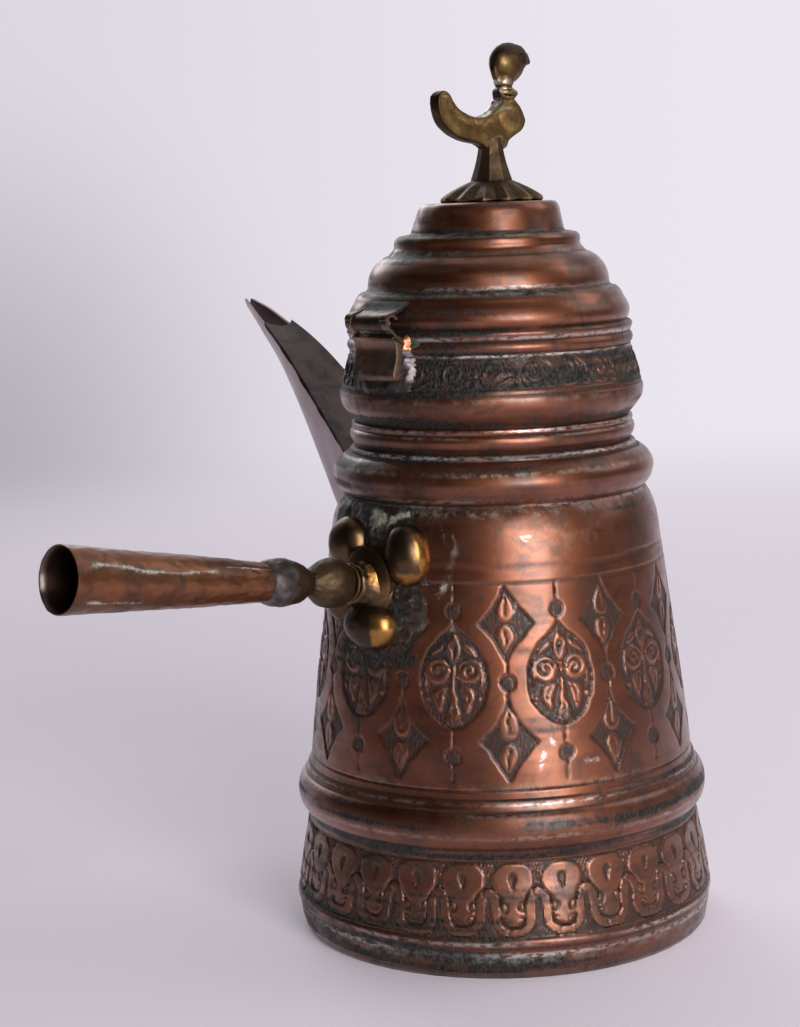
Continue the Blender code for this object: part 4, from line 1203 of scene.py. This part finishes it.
def make_rosette():
    middle = HANDLE_Z + 1.2
    parts, gold, shade = [], [], []
    lobes = ((14.0, 8.6, 7.6, 9.7, 6.6, 8.0), (-11.0, 9.6, 8.2, 8.8, 6.4, 12.0),
        (-12.6, -7.0, 7.6, 7.8, 6.0, 0.0), (1.6, -13.3, 10.2, 7.9, 7.8, -8.0))
    for i, (x, z, wide, tall, deep, tilt) in enumerate(lobes):
        fall = 55.2 - math.sqrt(55.2**2 - x**2)
        parts.append(egg((x, -53.0 + 0.115 * z + fall, middle + z), (wide, deep, tall), tilt, 70 + i))
        p = parts[-1][0]
        u, v, w = p[:, 0] - x, p[:, 2] - middle - z, p[:, 1] + 53.0 - 0.115 * z - fall
        s = CAMERA_RIGHT[0] * u + CAMERA_RIGHT[1] * w
        edge = 0.35 * lumpy(p, 2.6, 171 + i)
        # shade: painted shade, darkening the left side of each lobe, away from the lamps
        shade.append(0.35 * step_down(s + 2 * edge, -2.5, 1.5))
        rim = step_up(3.0 - w, 0, 1.2)
        if i == 0:
            worn = np.maximum(step_up(s - 2.4 + 0.2 * v + edge, 0, 0.4) * step_up(7.0 - v, 0, 0.6),
                step_up(-v + edge, 4.6, 5.1) * step_up(s + 4.0, 0, 0.6))
        elif i == 3:
            worn = step_up(s + edge, -0.6, -0.2) * step_up(4.4 - v + edge, 0, 0.5) * step_up(v + 5.6 + edge,
                0, 0.5)
        else:
            worn = np.zeros(len(p))
        gold.append(worn * rim)
    plate = []
    t = circle(72)
    for r, y in ((0.1, -57.2), (6.0, -57.3), (9.4, -56.6), (10.8, -55.2), (11.0, -52.0), (11.0, -49.0),
        (0.1, -49.0)):
        plate.append(np.stack([r * np.cos(t), np.full(72, y), middle + r * np.sin(t)], axis=1))
    points, faces = loft(plate)
    parts.append((points, facing_out(points, faces)))
    gold.append(np.zeros(len(points)))
    shade.append(np.zeros(len(points)))
    points, faces = shells(parts)
    # dark: the cast's own dark film, plus the painted shade on the lobes' left sides, and darker towards the
    # pot
    dark = unit(0.42 + np.concatenate(shade) + 0.6 * lumpy(points, 6.0, 176) + 0.8
        * step_down(-points[:, 1], 50.5, 53.0))
    wear_and_glint = np.concatenate(gold)
    piece("handle_rosette_cast", points, faces, [ROSETTE_BRASS], "pot", ["handle_rosette"],
        {"wear_and_glint": wear_and_glint, "cut": dark * (1 - wear_and_glint)})

    def crust(angle, z, p):
        x = round_mm(angle, ROSETTE_R)
        v = z - middle
        edge = lumpy(p, 9.0, 81)
        reach = np.hypot(x * 1.02, v * 0.98) + 3.0 * edge
        body = step_down(reach, 13.0, 25.0)
        right = 0.12 * bump(reach - 22.5, 3.4) * step_up(x, 4.0, 12.0)
        drip = 0.5 * step_down(np.hypot((x + 1.0) * 0.9, v + 20.5) + 2 * edge, 3.0, 9.0)
        up = 0.7 * step_down(np.hypot((x + 6.0) * 0.5, v - 17.0) + 2 * edge, 6.0, 14.0)
        level = np.maximum(np.maximum(body, drip), up) + right
        return level * (1 + 0.5 * lumpy(p, 3.4, 82)) + 0.10 * lumpy(p, 2.0, 83, 3, 0.6) * step_up(level, 0.1,
            0.5) - 0.27

    def pale(angle, z, p):
        x = round_mm(angle, ROSETTE_R)
        v = z - middle
        r = np.hypot((x - 14.2) * 1.15, v - 8.6) + 0.6 * lumpy(p, 4.0, 84)
        ring = 1.3 * bump(r - 12.2, 1.6) * (x > 6) * (v > -2) * unit(0.7 + lumpy(p, 5.0, 85))
        top = step_down(np.hypot((x + 1.0) * 0.55, v - 18.0) + 2.5 * lumpy(p, 4.0, 88), 2.0, 5.0)
        return unit(ring + 0.9 * top + 0.45 * bump(r - 16.5, 4.0) * (x > 0) * (v > 2) + 0.5
            * unit(lumpy(p, 5.0, 86) - 0.3))

    patch("rosette_solder", (-34.0, 36.0), (89.5, 139.5), crust, CRUST, "pot", 0.42,
          {"pale": pale, "tin": lambda a, z, p: np.clip(2.2 * lumpy(p, 1.7, 87) - 1.5, 0, 0.8) * (z < middle),
           "soot_and_shade": lambda a, z, p: unit(0.72 + 0.6 * lumpy(p, 5.0, 89)),
           "cut": lambda a, z, p: np.clip(0.1 - 0.8 * lumpy(p, 2.6, 88), 0, 0.6)})


# --- spout -----------------------------------------------------------------------------

KEEL = smooth([(47.0, 98.0), (55.0, 103.5), (62.0, 109.0), (68.0, 116.0), (73.5, 124.5), (78.5, 134.0),
    (85.0, 146.4), (92.6, 160.0), (102.0, 173.6), (114.0, 187.2), (125.0, 198.6)], 1.0)
RIM = smooth([(47.0, 143.0, 17.2), (58.0, 152.1, 14.8), (66.0, 158.7, 13.2), (74.0, 165.4, 11.6),
    (82.0, 172.1, 10.2), (90.0, 178.9, 9.0), (98.0, 184.8, 7.7), (106.0, 189.9, 6.0), (114.0, 194.8, 4.2),
    (120.0, 197.9, 2.2), (125.0, 200.3, 0.7)], 1.0)


def spout_point(r, u, inward):
    """A point on the trough: u runs -1..1 from one rim over the keel to the other."""
    keel = np.interp(r, KEEL[:, 0], KEEL[:, 1]) + inward * 1.5
    rim = np.interp(r, RIM[:, 0], RIM[:, 1])
    half = np.maximum(np.interp(r, RIM[:, 0], RIM[:, 2]) - inward, 0.3)
    return np.stack([-r, half * u, keel + (rim - keel) * np.abs(u) ** 1.62], axis=-1)


def spout_start(u):
    """How far out the trough leaves the pot's skin in that lane."""
    r = np.linspace(46.0, 70.0, 300)
    p = spout_point(r, u, 0.0)
    wall = np.interp(p[:, 2], SKIN_Z, SKIN_R)
    free = np.hypot(p[:, 0], p[:, 1]) - wall
    return float(r[np.argmax(free > -0.7)])


def make_spout():
    lanes = np.linspace(-1, 1, 61)
    starts = np.array([spout_start(u) for u in lanes])
    share = np.linspace(0, 1, 120) ** 1.05
    rings = []
    for s in share:
        r = starts + (120.9 - starts) * s
        outer = np.vstack([spout_point(np.array([a]), u, 0.0) for a, u in zip(r, lanes)])
        inner = np.vstack([spout_point(np.array([a]), u, 1.15) for a, u in zip(r, lanes)])
        push = 0.22 * lumpy(outer, 22.0, 91, 2)[:, None] * np.array([[0.3, 1.0, 0.3]])
        rings.append(np.vstack([outer + push, (inner + push)[::-1]]))
    points, faces = loft(rings)
    faces = facing_out(points, faces)
    around = np.tile(np.concatenate([np.abs(lanes), np.abs(lanes[::-1])]), len(share))
    along = np.repeat(share, 2 * len(lanes))
    soot_and_shade = unit(0.35 + 0.35 * np.cos(points[:, 2] * 0.11) * around)
    # The cheeks, away from the keel, take spout_copper's pale pinkish shine: a painted reflection.
    piece("spout_trough_skin", points, faces, [COPPER_SPOUT], "pot", ["spout_trough"],
          {"soot_and_shade": soot_and_shade * step_down(around, 0.12, 0.35), "cut": 0.7 * step_down(along, 0.0, 0.05),
           "wear_and_glint": step_up(around, 0.12, 0.35)})
    path = np.array([spout_point(np.array([a - 0.1]), u, -0.2)[0] for a, u in zip(starts, lanes)])
    radius = 0.95 + 0.45 * lumpy(path, 3.5, 92, 2)
    seam = [tube(path, np.clip(radius, 0.35, 1.6), 14)]
    edge = []
    for side in (-1, 1):
        r = np.linspace(49.5, 104.5, 90)
        p = spout_point(r, np.full(len(r), side * 0.992), 0.25)
        p[:, 2] += 0.2
        edge.append(tube(p, np.clip(0.5 + 0.25 * lumpy(p, 5.0, 93, 2), 0.2, 0.9), 10))
    points, faces = shells(seam + edge)
    piece("spout_solder", points, faces, [CRUST], "pot", (), {"cut": np.full(len(points), 0.6)})
    stations, across = np.linspace(0, 1, 84), np.linspace(-1, 1, 33)
    levels = []
    for level in (0.1, 1.35):
        rows = []
        for s in stations:
            pull = 2.4 * (1 - across**2) * s**3
            r = 49.0 + (105.3 - 49.0) * s - pull
            rim, half = np.interp(r, RIM[:, 0], RIM[:, 1]), np.interp(r, RIM[:, 0], RIM[:, 2])
            start = np.sqrt(np.clip((np.interp(rim, SKIN_Z, SKIN_R) - 0.6) ** 2 - (across * half) ** 2, 1,
                None))
            r = np.maximum(r, start)
            sag = 0.35 * np.cos(across * math.pi / 2)
            rows.append(np.stack([-r, across * half, np.interp(r, RIM[:, 0], RIM[:, 1]) + level - sag],
                axis=1))
        levels.append(rows)
    rings = [np.vstack([low, high[::-1]]) for low, high in zip(*levels)]
    points, faces = loft(rings)
    front = np.repeat(stations, 2 * len(across))
    piece("spout_cover_plate", points, facing_out(points, faces), [COPPER_COVER], "pot", ["spout_cover"],
          {"soot_and_shade": unit(0.22 + 0.3 * lumpy(points, 16.0, 95)), "wear_and_glint": 0.7 * step_up(front, 0.985, 1.0)})


# --- hinge -----------------------------------------------------------------------------


def arc(start_deg, end_deg, radius, count=26):
    t = np.radians(np.linspace(start_deg, end_deg, count))
    return [(HINGE_Y + radius * math.cos(a), HINGE_Z + radius * math.sin(a)) for a in t]


def make_hinge():
    face = [(-45.0, 177.6), (-47.9, 177.3), (-49.3, 178.0), (-49.8, 179.4), (-49.3, 181.4), (-48.6, 183.4),
        (-48.1, 185.4), (-48.1, 187.4), (-48.7, 189.3), (-49.8, 190.4)]
    back = [(-49.8, 190.4), (-49.2, 191.0), (-47.8, 190.8), (-46.2, 190.4), (-44.4, 190.0), (-42.6, 189.8),
        (-42.6, 184.0), (-43.6, 180.0), (-45.0, 177.6)]
    outline = np.vstack([smooth(face, 0.4)[:-1], smooth(back, 0.6)[:-1]])
    parts = [swept(outline, -9.5, 9.5, 50, 0.6, 0.16, 101, 6.0)]
    curl = smooth([(-45.4, 190.0), (-47.2, 190.6), (-48.7, 191.7)], 0.4)[:-1].tolist() + arc(-100, -330, 2.15)
    for low, high in ((-9.5, -6.7), (6.7, 9.5)):
        parts.append(swept(strip(curl, 0.9), low, high, 12, 0.25, 0.06, 103, 3.0))
    points, faces = shells(parts)
    x, y, z = points.T
    film = lumpy(points, 6.0, 105)
    low = step_down(z + 1.5 * film, 180.0, 188.5)
    piece("hinge_body_leaf_sheet", points, faces, [COPPER_HINGE], "pot", ["hinge_body_leaf"], {
        "soot_and_shade": unit(0.12 + 0.5 * low + 0.5 * film), "cut": unit(0.9 * bump(y + 45.0, 3.4)
        * step_up(z, 189.0, 189.8)),
        "wear_and_glint": 0.1 * bump(x - 9.3, 0.6) * step_up(z, 184.0, 187.0),
        "pale": 0.4 * low * unit(lumpy(points, 3.0, 104))})
    over = smooth([(-42.0, 200.6), (-43.4, 199.9), (-45.0, 198.9), (-46.6, 198.1), (-47.9, 197.6),
        (-49.0, 197.2)], 0.4)[:-1].tolist()
    roll = over + arc(93, 332, 2.2, 40)
    parts = [swept(strip(roll, 0.9), -6.4, 6.4, 34, 0.25, 0.10, 107, 5.0)]
    wing = smooth([(-42.0, 200.6), (-43.4, 199.9), (-45.0, 198.9), (-46.6, 198.2), (-48.4, 197.7),
        (-50.9, 197.0), (-51.7, 195.8)], 0.4)
    for low, high in ((-9.3, -6.3), (6.3, 9.3)):
        parts.append(swept(strip(wing, 0.9), low, high, 12, 0.3, 0.10, 109, 5.0))
    points, faces = shells(parts)
    x, y, z = points.T
    film = lumpy(points, 7.0, 106)
    piece("hinge_lid_leaf_roll", points, faces, [COPPER_STRAP], "lid", ["hinge_lid_leaf"], {
        "soot_and_shade": unit(0.25 + 0.3 * film + 0.6 * step_up(z, 197.4, 199.0)),
        "cut": 0.4 * step_up(z, 197.6, 199.0)})
    t = circle(28)
    pin = []
    for x, r in ((-10.5, 0.2), (-10.45, 0.8), (-10.25, 1.15), (-9.9, 1.35), (-9.6, 1.2), (-9.45, 1.0),
        (7.2, 1.0), (7.6, 0.8), (7.65, 0.2)):
        pin.append(np.stack([np.full(28, x), HINGE_Y + r * np.cos(t), HINGE_Z + r * np.sin(t)], axis=1))
    points, faces = loft(pin)
    piece("hinge_pin_wire", points, facing_out(points, faces), [STEEL], "pot", ["hinge_pin"])

    def drip(angle, z, p):
        x = round_mm(angle, NECK_R)
        grain = lumpy(p, 3.0, 111)
        run = np.hypot((x - 9.6 + 0.10 * (z - 181.0)) * 0.8, (z - 181.6) * 0.34)
        other = np.hypot(x + 10.4, (z - 182.0) * 0.36)
        foot = np.hypot(x * 0.22, (z - 177.2) * 0.7)
        level = np.maximum(2.2 * step_down(run, 1.0, 3.3), 0.9 * step_down(other, 1.2, 3.0))
        level = np.maximum(level, 1.9 * step_down(foot, 1.2, 3.4))
        return level * (1 + 0.3 * grain) + 0.12 * grain - 0.3

    patch("hinge_solder", (-19.0, 22.0), (171.6, 190.4), drip, SOLDER, "pot", 0.3,
          {"cut": lambda a, z, p: unit(0.75 - 0.9 * (a > 8) * (z > 177) + 0.5 * lumpy(p, 3.0, 112)),
           "wear_and_glint": lambda a, z, p: 0.6 * (a > 9) * (z > 178) * unit(0.4 + lumpy(p, 2.4, 113))})

    def bare(angle, z, p):
        x = round_mm(angle, HINGE_R)
        r = np.hypot((x - 8.9 + 0.10 * (z - 188.0)) * 0.8, (z - 188.2) * 0.62) + 0.3 * lumpy(p, 3.0, 114, 2)
        return 2.6 * step_down(r, 0.4, 2.6) - 0.25

    patch("bare_copper_patch", (8.0, 17.0), (183.2, 192.4), bare, COPPER_BARE, "pot", 0.2)

    def green(angle, z, p):
        x = round_mm(angle, HINGE_R)
        r = np.hypot((x - 11.6) * 0.8, (z - 188.6) * 1.0) + 0.6 * lumpy(p, 2.0, 115)
        return 0.8 * step_down(r, 0.8, 2.4) - 0.22

    patch("green_spot", (12.0, 23.0), (184.5, 192.4), green, GREEN, "pot", 0.3)


# --- finial ----------------------------------------------------------------------------

BIRD = [
    (-3.6, 246.4), (-6.4, 247.9), (-10.7, 248.7), (-14.9, 249.8), (-19.1, 252.0), (-21.9, 254.7),
    (-23.4, 258.0), (-23.7, 261.0), (-23.2, 263.1), (-21.4, 264.3), (-19.8, 264.1), (-18.4, 263.0),
    (-17.0, 260.7), (-14.6, 258.6), (-10.4, 256.8), (-6.1, 256.3), (-1.7, 257.4), (1.0, 259.3),
    (3.2, 262.1), (2.8, 264.6), (3.5, 266.1), (1.9, 269.7), (1.5, 272.2), (2.3, 275.3), (4.4, 278.0),
    (7.2, 279.6), (10.6, 279.4), (14.1, 277.6), (16.6, 273.4), (13.0, 272.1), (10.7, 269.9), (9.3, 267.1),
    (8.8, 265.9), (10.9, 263.7), (9.5, 261.9), (11.6, 259.4), (13.3, 256.6), (13.7, 254.8), (12.3, 252.3),
    (9.5, 250.7), (6.3, 248.9), (4.3, 246.4),
]


def inside_depth(points, outline):
    """Distance from each (y, z) point to the outline."""
    best = np.full(len(points), 1e9)
    for a, b in zip(outline, np.roll(outline, -1, 0)):
        d = b - a
        t = unit(((points - a) @ d) / max(d @ d, 1e-9))
        best = np.minimum(best, np.hypot(*(points - a - t[:, None] * d).T))
    return best


def voxel_shape(parts, size):
    """The parts melted into one rounded mesh, as points in mm and faces."""
    points, faces = shells(parts)
    data = bpy.data.meshes.new("melt")
    data.from_pydata([tuple(p) for p in points], [], faces)
    obj = add_object("melt", data)
    melt = obj.modifiers.new("melt", "REMESH")
    melt.mode, melt.voxel_size = "VOXEL", size
    even = obj.modifiers.new("even", "SMOOTH")
    even.factor, even.iterations = 0.5, 5
    bpy.context.view_layer.update()
    made = obj.evaluated_get(bpy.context.evaluated_depsgraph_get()).to_mesh()
    co = np.empty(len(made.vertices) * 3)
    made.vertices.foreach_get("co", co)
    no = np.empty(len(made.vertices) * 3)
    made.vertices.foreach_get("normal", no)
    found = [tuple(p.vertices) for p in made.polygons]
    bpy.data.objects.remove(obj)
    bpy.data.meshes.remove(data)
    return co.reshape(-1, 3), no.reshape(-1, 3), found


def stood(points):
    """The finial stands a little off the middle of the lid, towards +X +Y."""
    return np.asarray(points, float) + np.array([2.2 * CAMERA_RIGHT[0], 2.2 * CAMERA_RIGHT[1], 0.0])


def make_finial():
    outline = np.array(BIRD) - np.array([0.0, 0.4])
    outline[:, 1] -= 0.02 * (outline[:, 1] - 246.0)
    line = smooth(np.vstack([outline, outline[:1]]), 0.45)[:-1]
    bird = swept(line, -2.15, 2.15, 5, 0.3)
    bird[0][:, 0] *= 1 - 0.5 * step_up(bird[0][:, 2], 262.0, 266.0) * (bird[0][:, 1] < 12)
    bead = egg((0.0, 6.9, 263.2), (3.5, 4.4, 1.35), 0, 121, 18, 36)
    head = egg((0.0, 8.0, 272.3), (4.6, 6.5, 6.2), 0, 122, 30, 48)
    nape = egg((0.0, 6.4, 267.0), (3.1, 3.3, 4.4), 0, 123, 18, 28)
    brow = egg((0.0, 10.4, 273.6), (4.3, 5.2, 4.7), 0, 126, 24, 36)
    beak = egg((0.0, 13.0, 273.7), (3.2, 3.6, 3.0), 0, 127, 18, 30)
    breast = egg((0.0, 6.2, 255.2), (3.1, 6.6, 5.4), 0, 124, 24, 40)
    foot = egg((0.0, 1.2, 247.6), (3.4, 4.4, 3.0), 0, 125, 18, 30)
    points, normal, faces = voxel_shape([bird, bead, head, brow, beak, nape, breast, foot], 0.3)
    depth = inside_depth(points[:, 1:], line)
    flat = np.abs(normal[:, 0])
    points[:, 0] += np.sign(points[:, 0]) * 0.45 * step_up(depth, 0.4, 3.6) * flat * (points[:, 2] < 262)
    eye = np.hypot(points[:, 1] - 11.0, points[:, 2] - 273.6)
    ring_cut = bump(eye - 1.15, 0.45) * (flat > 0.35)
    neck_cut = unit(bump(points[:, 2] - 265.2, 0.7) + bump(points[:, 2] - 261.2, 0.7) * (points[:, 1] > 2.0))
    soft = lumpy(points, 6.0, 132)
    points = points - normal * (0.32 * ring_cut + 0.25 * neck_cut - 0.05 * lumpy(points, 2.2, 131) - 0.07
        * soft)[:, None]
    # Painted shade and highlight: the tail's side and edge faces are painted dark, while the back, the nape
    # and the upward-facing tail edges are painted near-white, a painted highlight.
    side = step_down(flat, 0.55, 0.85)
    tail = points[:, 2] < 265.5
    edge = np.maximum(side * tail, step_down(depth, 0.3, 1.0) * tail * 0.8)
    high = step_up(points[:, 2] + 0.2 * points[:, 1], 273.5, 278.0)
    back = step_up(normal[:, 2], 0.12, 0.4) * (points[:, 1] < 6.5) * (points[:, 1] > -12) * (points[:, 2]
        < 265) * (points[:, 2] > 254.8) * step_down(flat, 0.85, 0.95)
    dark = unit(0.95 * edge + 0.9 * ring_cut + 0.8 * neck_cut + 0.35 * soft + 0.5 * high + 0.65
        * step_up(points[:, 2], 265.0, 268.0))
    nape_glint = bump(points[:, 2] - 266.6, 1.3) * step_up(lumpy(points, 2.0, 137), -0.3,
        0.3) * (points[:, 1] < 7.0)
    bright = unit(0.5 * nape_glint + back * step_up(lumpy(points, 3.0, 133), -0.6, -0.1) + 0.4
        * bump(depth - 1.3, 0.9) * (normal[:, 2] > 0.2) * tail)
    piece("finial_bird_cast", stood(points), faces, [BIRD_BRASS], "lid", ["finial_bird"],
        {"cut": dark * (1 - bright), "wear_and_glint": bright})
    cone = [[(3.5, 249.2), (3.8, 247.4), (4.1, 245.2), (4.8, 242.0), (5.7, 239.0), (6.5, 236.6),
        (6.6, 235.6)]]

    def facets(angle, z):
        turn = np.abs((angle / 40.0) % 1.0 - 0.5) * 40.0
        lift = 4.9 * (math.cos(math.radians(20)) / np.cos(np.radians(turn)) - 1) * step_up(248.6 - z, 0, 2)
        p = np.stack([angle * 0.1, 0 * z, z], axis=1)
        return lift, {"cut": unit(0.38 + 0.4 * bump(z - 236.2, 1.0) + 0.5 * lumpy(p, 4.0, 134)),
            "wear_and_glint": 0.2 * step_up(turn, 17.5, 20.0)}

    cast("finial_stem_cast", cone, 0.35, 108, BRASS_DARK, relief=facets, body="lid", slot="brass",
           placed=stood, uneven=0.0, sharp=22)
    skirt = [[(5.9, 236.4), (6.8, 236.0), (9.2, 234.9), (12.4, 233.0), (15.5, 230.9)],
        [(15.5, 230.9), (15.8, 230.3), (15.3, 229.8)], [(15.3, 229.8), (10.0, 229.5)]]

    def pleats(angle, z):
        wave = 1 - np.abs(2 * ((angle / 360.0 * 13 + 0.2) % 1.0) - 1)
        rise = step_down(z, 231.4, 236.4)
        p = np.stack([angle * 0.2, 0 * z, z], axis=1)
        return 1.25 * (wave - 0.55) * rise, {"cut": unit(0.5 * (1 - wave) + 0.5 * lumpy(p, 5.0, 135)),
            "wear_and_glint": 0.7 * step_up(wave, 0.84, 1.0) * rise + 0.5 * bump(z - 230.2, 0.5)}

    cast("finial_skirt_cast", skirt, 0.35, 312, BRASS_DARK, relief=pleats, body="lid",
        replaces=["finial_base"],
           slot="dark_brass", placed=stood, uneven=0.0, sharp=22)


make_body()
make_foot()
make_waist()
make_neck()
make_lid()
make_handle()
make_rosette()
make_spout()
make_hinge()
make_finial()

KEEP = {"base_disc": COPPER_DARK, "lid_flange": TINNED, "finial_rivet": BRASS_DARK}
for node, material in KEEP.items():
    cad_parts[node].data.materials.clear()
    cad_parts[node].data.materials.append(material)


# --- floor, light and camera -----------------------------------------------------------

PAPER = rgb(226, 219, 230)
VIEW = math.radians(48.0)
TOWARD = Vector((math.sin(VIEW), -math.cos(VIEW), 0.0))
RIGHT = Vector((math.cos(VIEW), math.sin(VIEW), 0.0))
UP = Vector((0.0, 0.0, 1.0))
BACKDROP = (0.83, 0.785, 0.86)
SHADOW_WAY = (TOWARD * -0.955 + RIGHT * -0.20 + UP * -0.11).normalized()


def make_floor():
    p = Paint("pale_paper_with_painted_glow", PAPER)
    far = p.node("ShaderNodeVectorMath", {0: p.at}, 1, operation="LENGTH")
    colour = p.mix(p.noise(6.0, 3.0), rgb(228, 220, 230), rgb(222, 215, 226))
    p.finish(colour, 0.85, 0.0, p.bump(p.noise(500.0, 3.0), 0.0002, 0.2))
    # Painted light: the floor glows, more strongly towards the right, standing in for lamp light falling on
    # it.
    side = p.node("ShaderNodeVectorMath", {0: p.at, 1: RIGHT}, 1, operation="DOT_PRODUCT")
    p.tree.links.new(p.ramp(side, -0.35, 0.35, 0.12, 0.26), p.shader.inputs["Emission Strength"])
    p.shader.inputs["Emission Color"].default_value = (0.90, 0.83, 0.92, 1.0)
    clear = p.node("ShaderNodeBsdfTransparent", {})
    mixed = p.node("ShaderNodeMixShader", {0: p.ramp(far, 0.55, 1.5), 1: p.shader.outputs[0], 2: clear})
    p.tree.links.new(mixed, p.tree.nodes["Material Output"].inputs["Surface"])
    t = circle(96)
    rows = [(0.0, 0.0, -0.05)]
    faces = []
    radii = (200.0, 600.0, 1600.0)
    for r in radii:
        rows += [(r * math.cos(a), r * math.sin(a), -0.05) for a in t]
    data = bpy.data.meshes.new("floor")
    for j in range(96):
        k = (j + 1) % 96
        faces.append((0, 1 + j, 1 + k))
        for i in range(len(radii) - 1):
            a = 1 + 96 * i
            faces.append((a + j, a + 96 + j, a + 96 + k, a + k))
    data.from_pydata([tuple(c * MM for c in p3) for p3 in rows], [], faces)
    data.materials.append(p.material)
    floor = add_object("floor", data)


def make_world():
    """Pale paper for the camera, with a painted shadow to the left of the pot and painted shade towards the
    left; for reflections, bright behind the pot and a dim room in front.
    """
    world = bpy.data.worlds.new("room")
    bpy.context.scene.world = world
    world.use_nodes = True
    tree = world.node_tree
    tree.nodes.clear()

    def node(kind, inputs, out=0, **settings):
        return add_node(tree, kind, inputs, out, **settings)

    way = node("ShaderNodeTexCoord", {}, 0)
    front = node("ShaderNodeVectorMath", {0: way, 1: TOWARD}, 1, operation="DOT_PRODUCT")
    side = node("ShaderNodeVectorMath", {0: way, 1: RIGHT}, 1, operation="DOT_PRODUCT")
    high = node("ShaderNodeSeparateXYZ", {0: way}, 2)
    wide = node("ShaderNodeMapRange", {0: side, 1: -0.5, 2: 0.7, 3: 0.0, 4: 1.0},
        interpolation_type="SMOOTHSTEP")
    near = node("ShaderNodeMix", {0: wide, 6: (0.030, 0.029, 0.032, 1.0), 7: (0.15, 0.142, 0.15, 1.0)}, 2,
        data_type="RGBA")
    back = node("ShaderNodeMapRange", {0: front, 1: -0.40, 2: -0.95, 3: 0.0, 4: 1.0},
        interpolation_type="SMOOTHSTEP")
    room = node("ShaderNodeMix", {0: back, 6: near, 7: (0.74, 0.68, 0.76, 1.0)}, 2, data_type="RGBA")
    sky = node("ShaderNodeMapRange", {0: high, 1: 0.2, 2: 1.0, 3: 1.0, 4: 0.5},
        interpolation_type="SMOOTHSTEP")
    room = node("ShaderNodeVectorMath", {0: room, 3: sky}, 0, operation="SCALE")
    # Painted shadow: a soft dark patch on the paper seen by the camera, and the paper painted darker towards
    # the left.
    far = node("ShaderNodeVectorMath", {0: way, 1: SHADOW_WAY}, 1, operation="DISTANCE")
    shadow = node("ShaderNodeMapRange", {0: far, 1: 0.0, 2: 0.20, 3: 0.62, 4: 1.0},
        interpolation_type="SMOOTHSTEP")
    across = node("ShaderNodeMapRange", {0: side, 1: -0.22, 2: 0.16, 3: 0.86, 4: 1.0},
        interpolation_type="SMOOTHSTEP")
    fade = node("ShaderNodeMath", {0: shadow, 1: across}, 0, operation="MULTIPLY")
    wall = node("ShaderNodeVectorMath", {0: BACKDROP, 3: fade}, 0, operation="SCALE")
    seen = node("ShaderNodeLightPath", {}, 0)
    paper = node("ShaderNodeMix", {0: seen, 6: room, 7: wall}, 2, data_type="RGBA")
    shade = node("ShaderNodeBackground", {"Color": paper, "Strength": 1.0})
    out = tree.nodes.new("ShaderNodeOutputWorld")
    tree.links.new(shade, out.inputs["Surface"])


def lamp(name, way, distance, width, height, power, colour=(1.0, 1.0, 1.0)):
    """A soft panel seen from the pot in the direction way, (toward, right, up)."""
    data = bpy.data.lights.new(name, "AREA")
    data.shape = "RECTANGLE"
    data.size, data.size_y = width, height
    data.energy = power
    data.color = colour
    made = add_object(name, data)
    aim = (TOWARD * way[0] + RIGHT * way[1] + UP * way[2]).normalized()
    middle = Vector((0.0, 0.0, 0.12))
    made.location = middle + aim * distance
    made.rotation_mode = "QUATERNION"
    made.rotation_quaternion = aim.to_track_quat("Z", "Y")


def make_camera():
    data = bpy.data.cameras.new("camera")
    data.sensor_width = 36.0
    data.lens = 76.87
    data.clip_start, data.clip_end = 0.02, 20.0
    made = add_object("camera", data)
    fall, roll = math.radians(8.12), math.radians(-1.96)
    back = TOWARD * math.cos(fall) + UP * math.sin(fall)
    up = -TOWARD * math.sin(fall) + UP * math.cos(fall)
    right = RIGHT * math.cos(roll) + up * math.sin(roll)
    above = -RIGHT * math.sin(roll) + up * math.cos(roll)
    where = TOWARD * 0.6929 - RIGHT * 0.03 + UP * 0.231
    made.matrix_world = Matrix((
        (right.x, above.x, back.x, where.x),
        (right.y, above.y, back.y, where.y),
        (right.z, above.z, back.z, where.z),
        (0, 0, 0, 1),
    ))
    bpy.context.scene.camera = made


make_floor()
make_world()
lamp("side", (-0.1, 0.76, 0.58), 1.5, 0.8, 0.8, 3.0, (1.0, 0.96, 0.98))
lamp("low_window", (1.0, 0.50, 0.10), 1.3, 0.34, 0.60, 3.6, (1.0, 0.95, 0.96))
lamp("window", (1.0, 0.37, 0.34), 1.3, 0.60, 0.90, 10.0, (1.0, 0.965, 0.98))
lamp("overhead", (-0.3, 0.2, 1.0), 1.6, 1.6, 1.6, 5.0)
lamp("fill_back", (-1.0, -0.4, 0.6), 1.5, 0.8, 0.8, 5.0)
make_camera()
bpy.context.scene.view_settings.view_transform = "Standard"
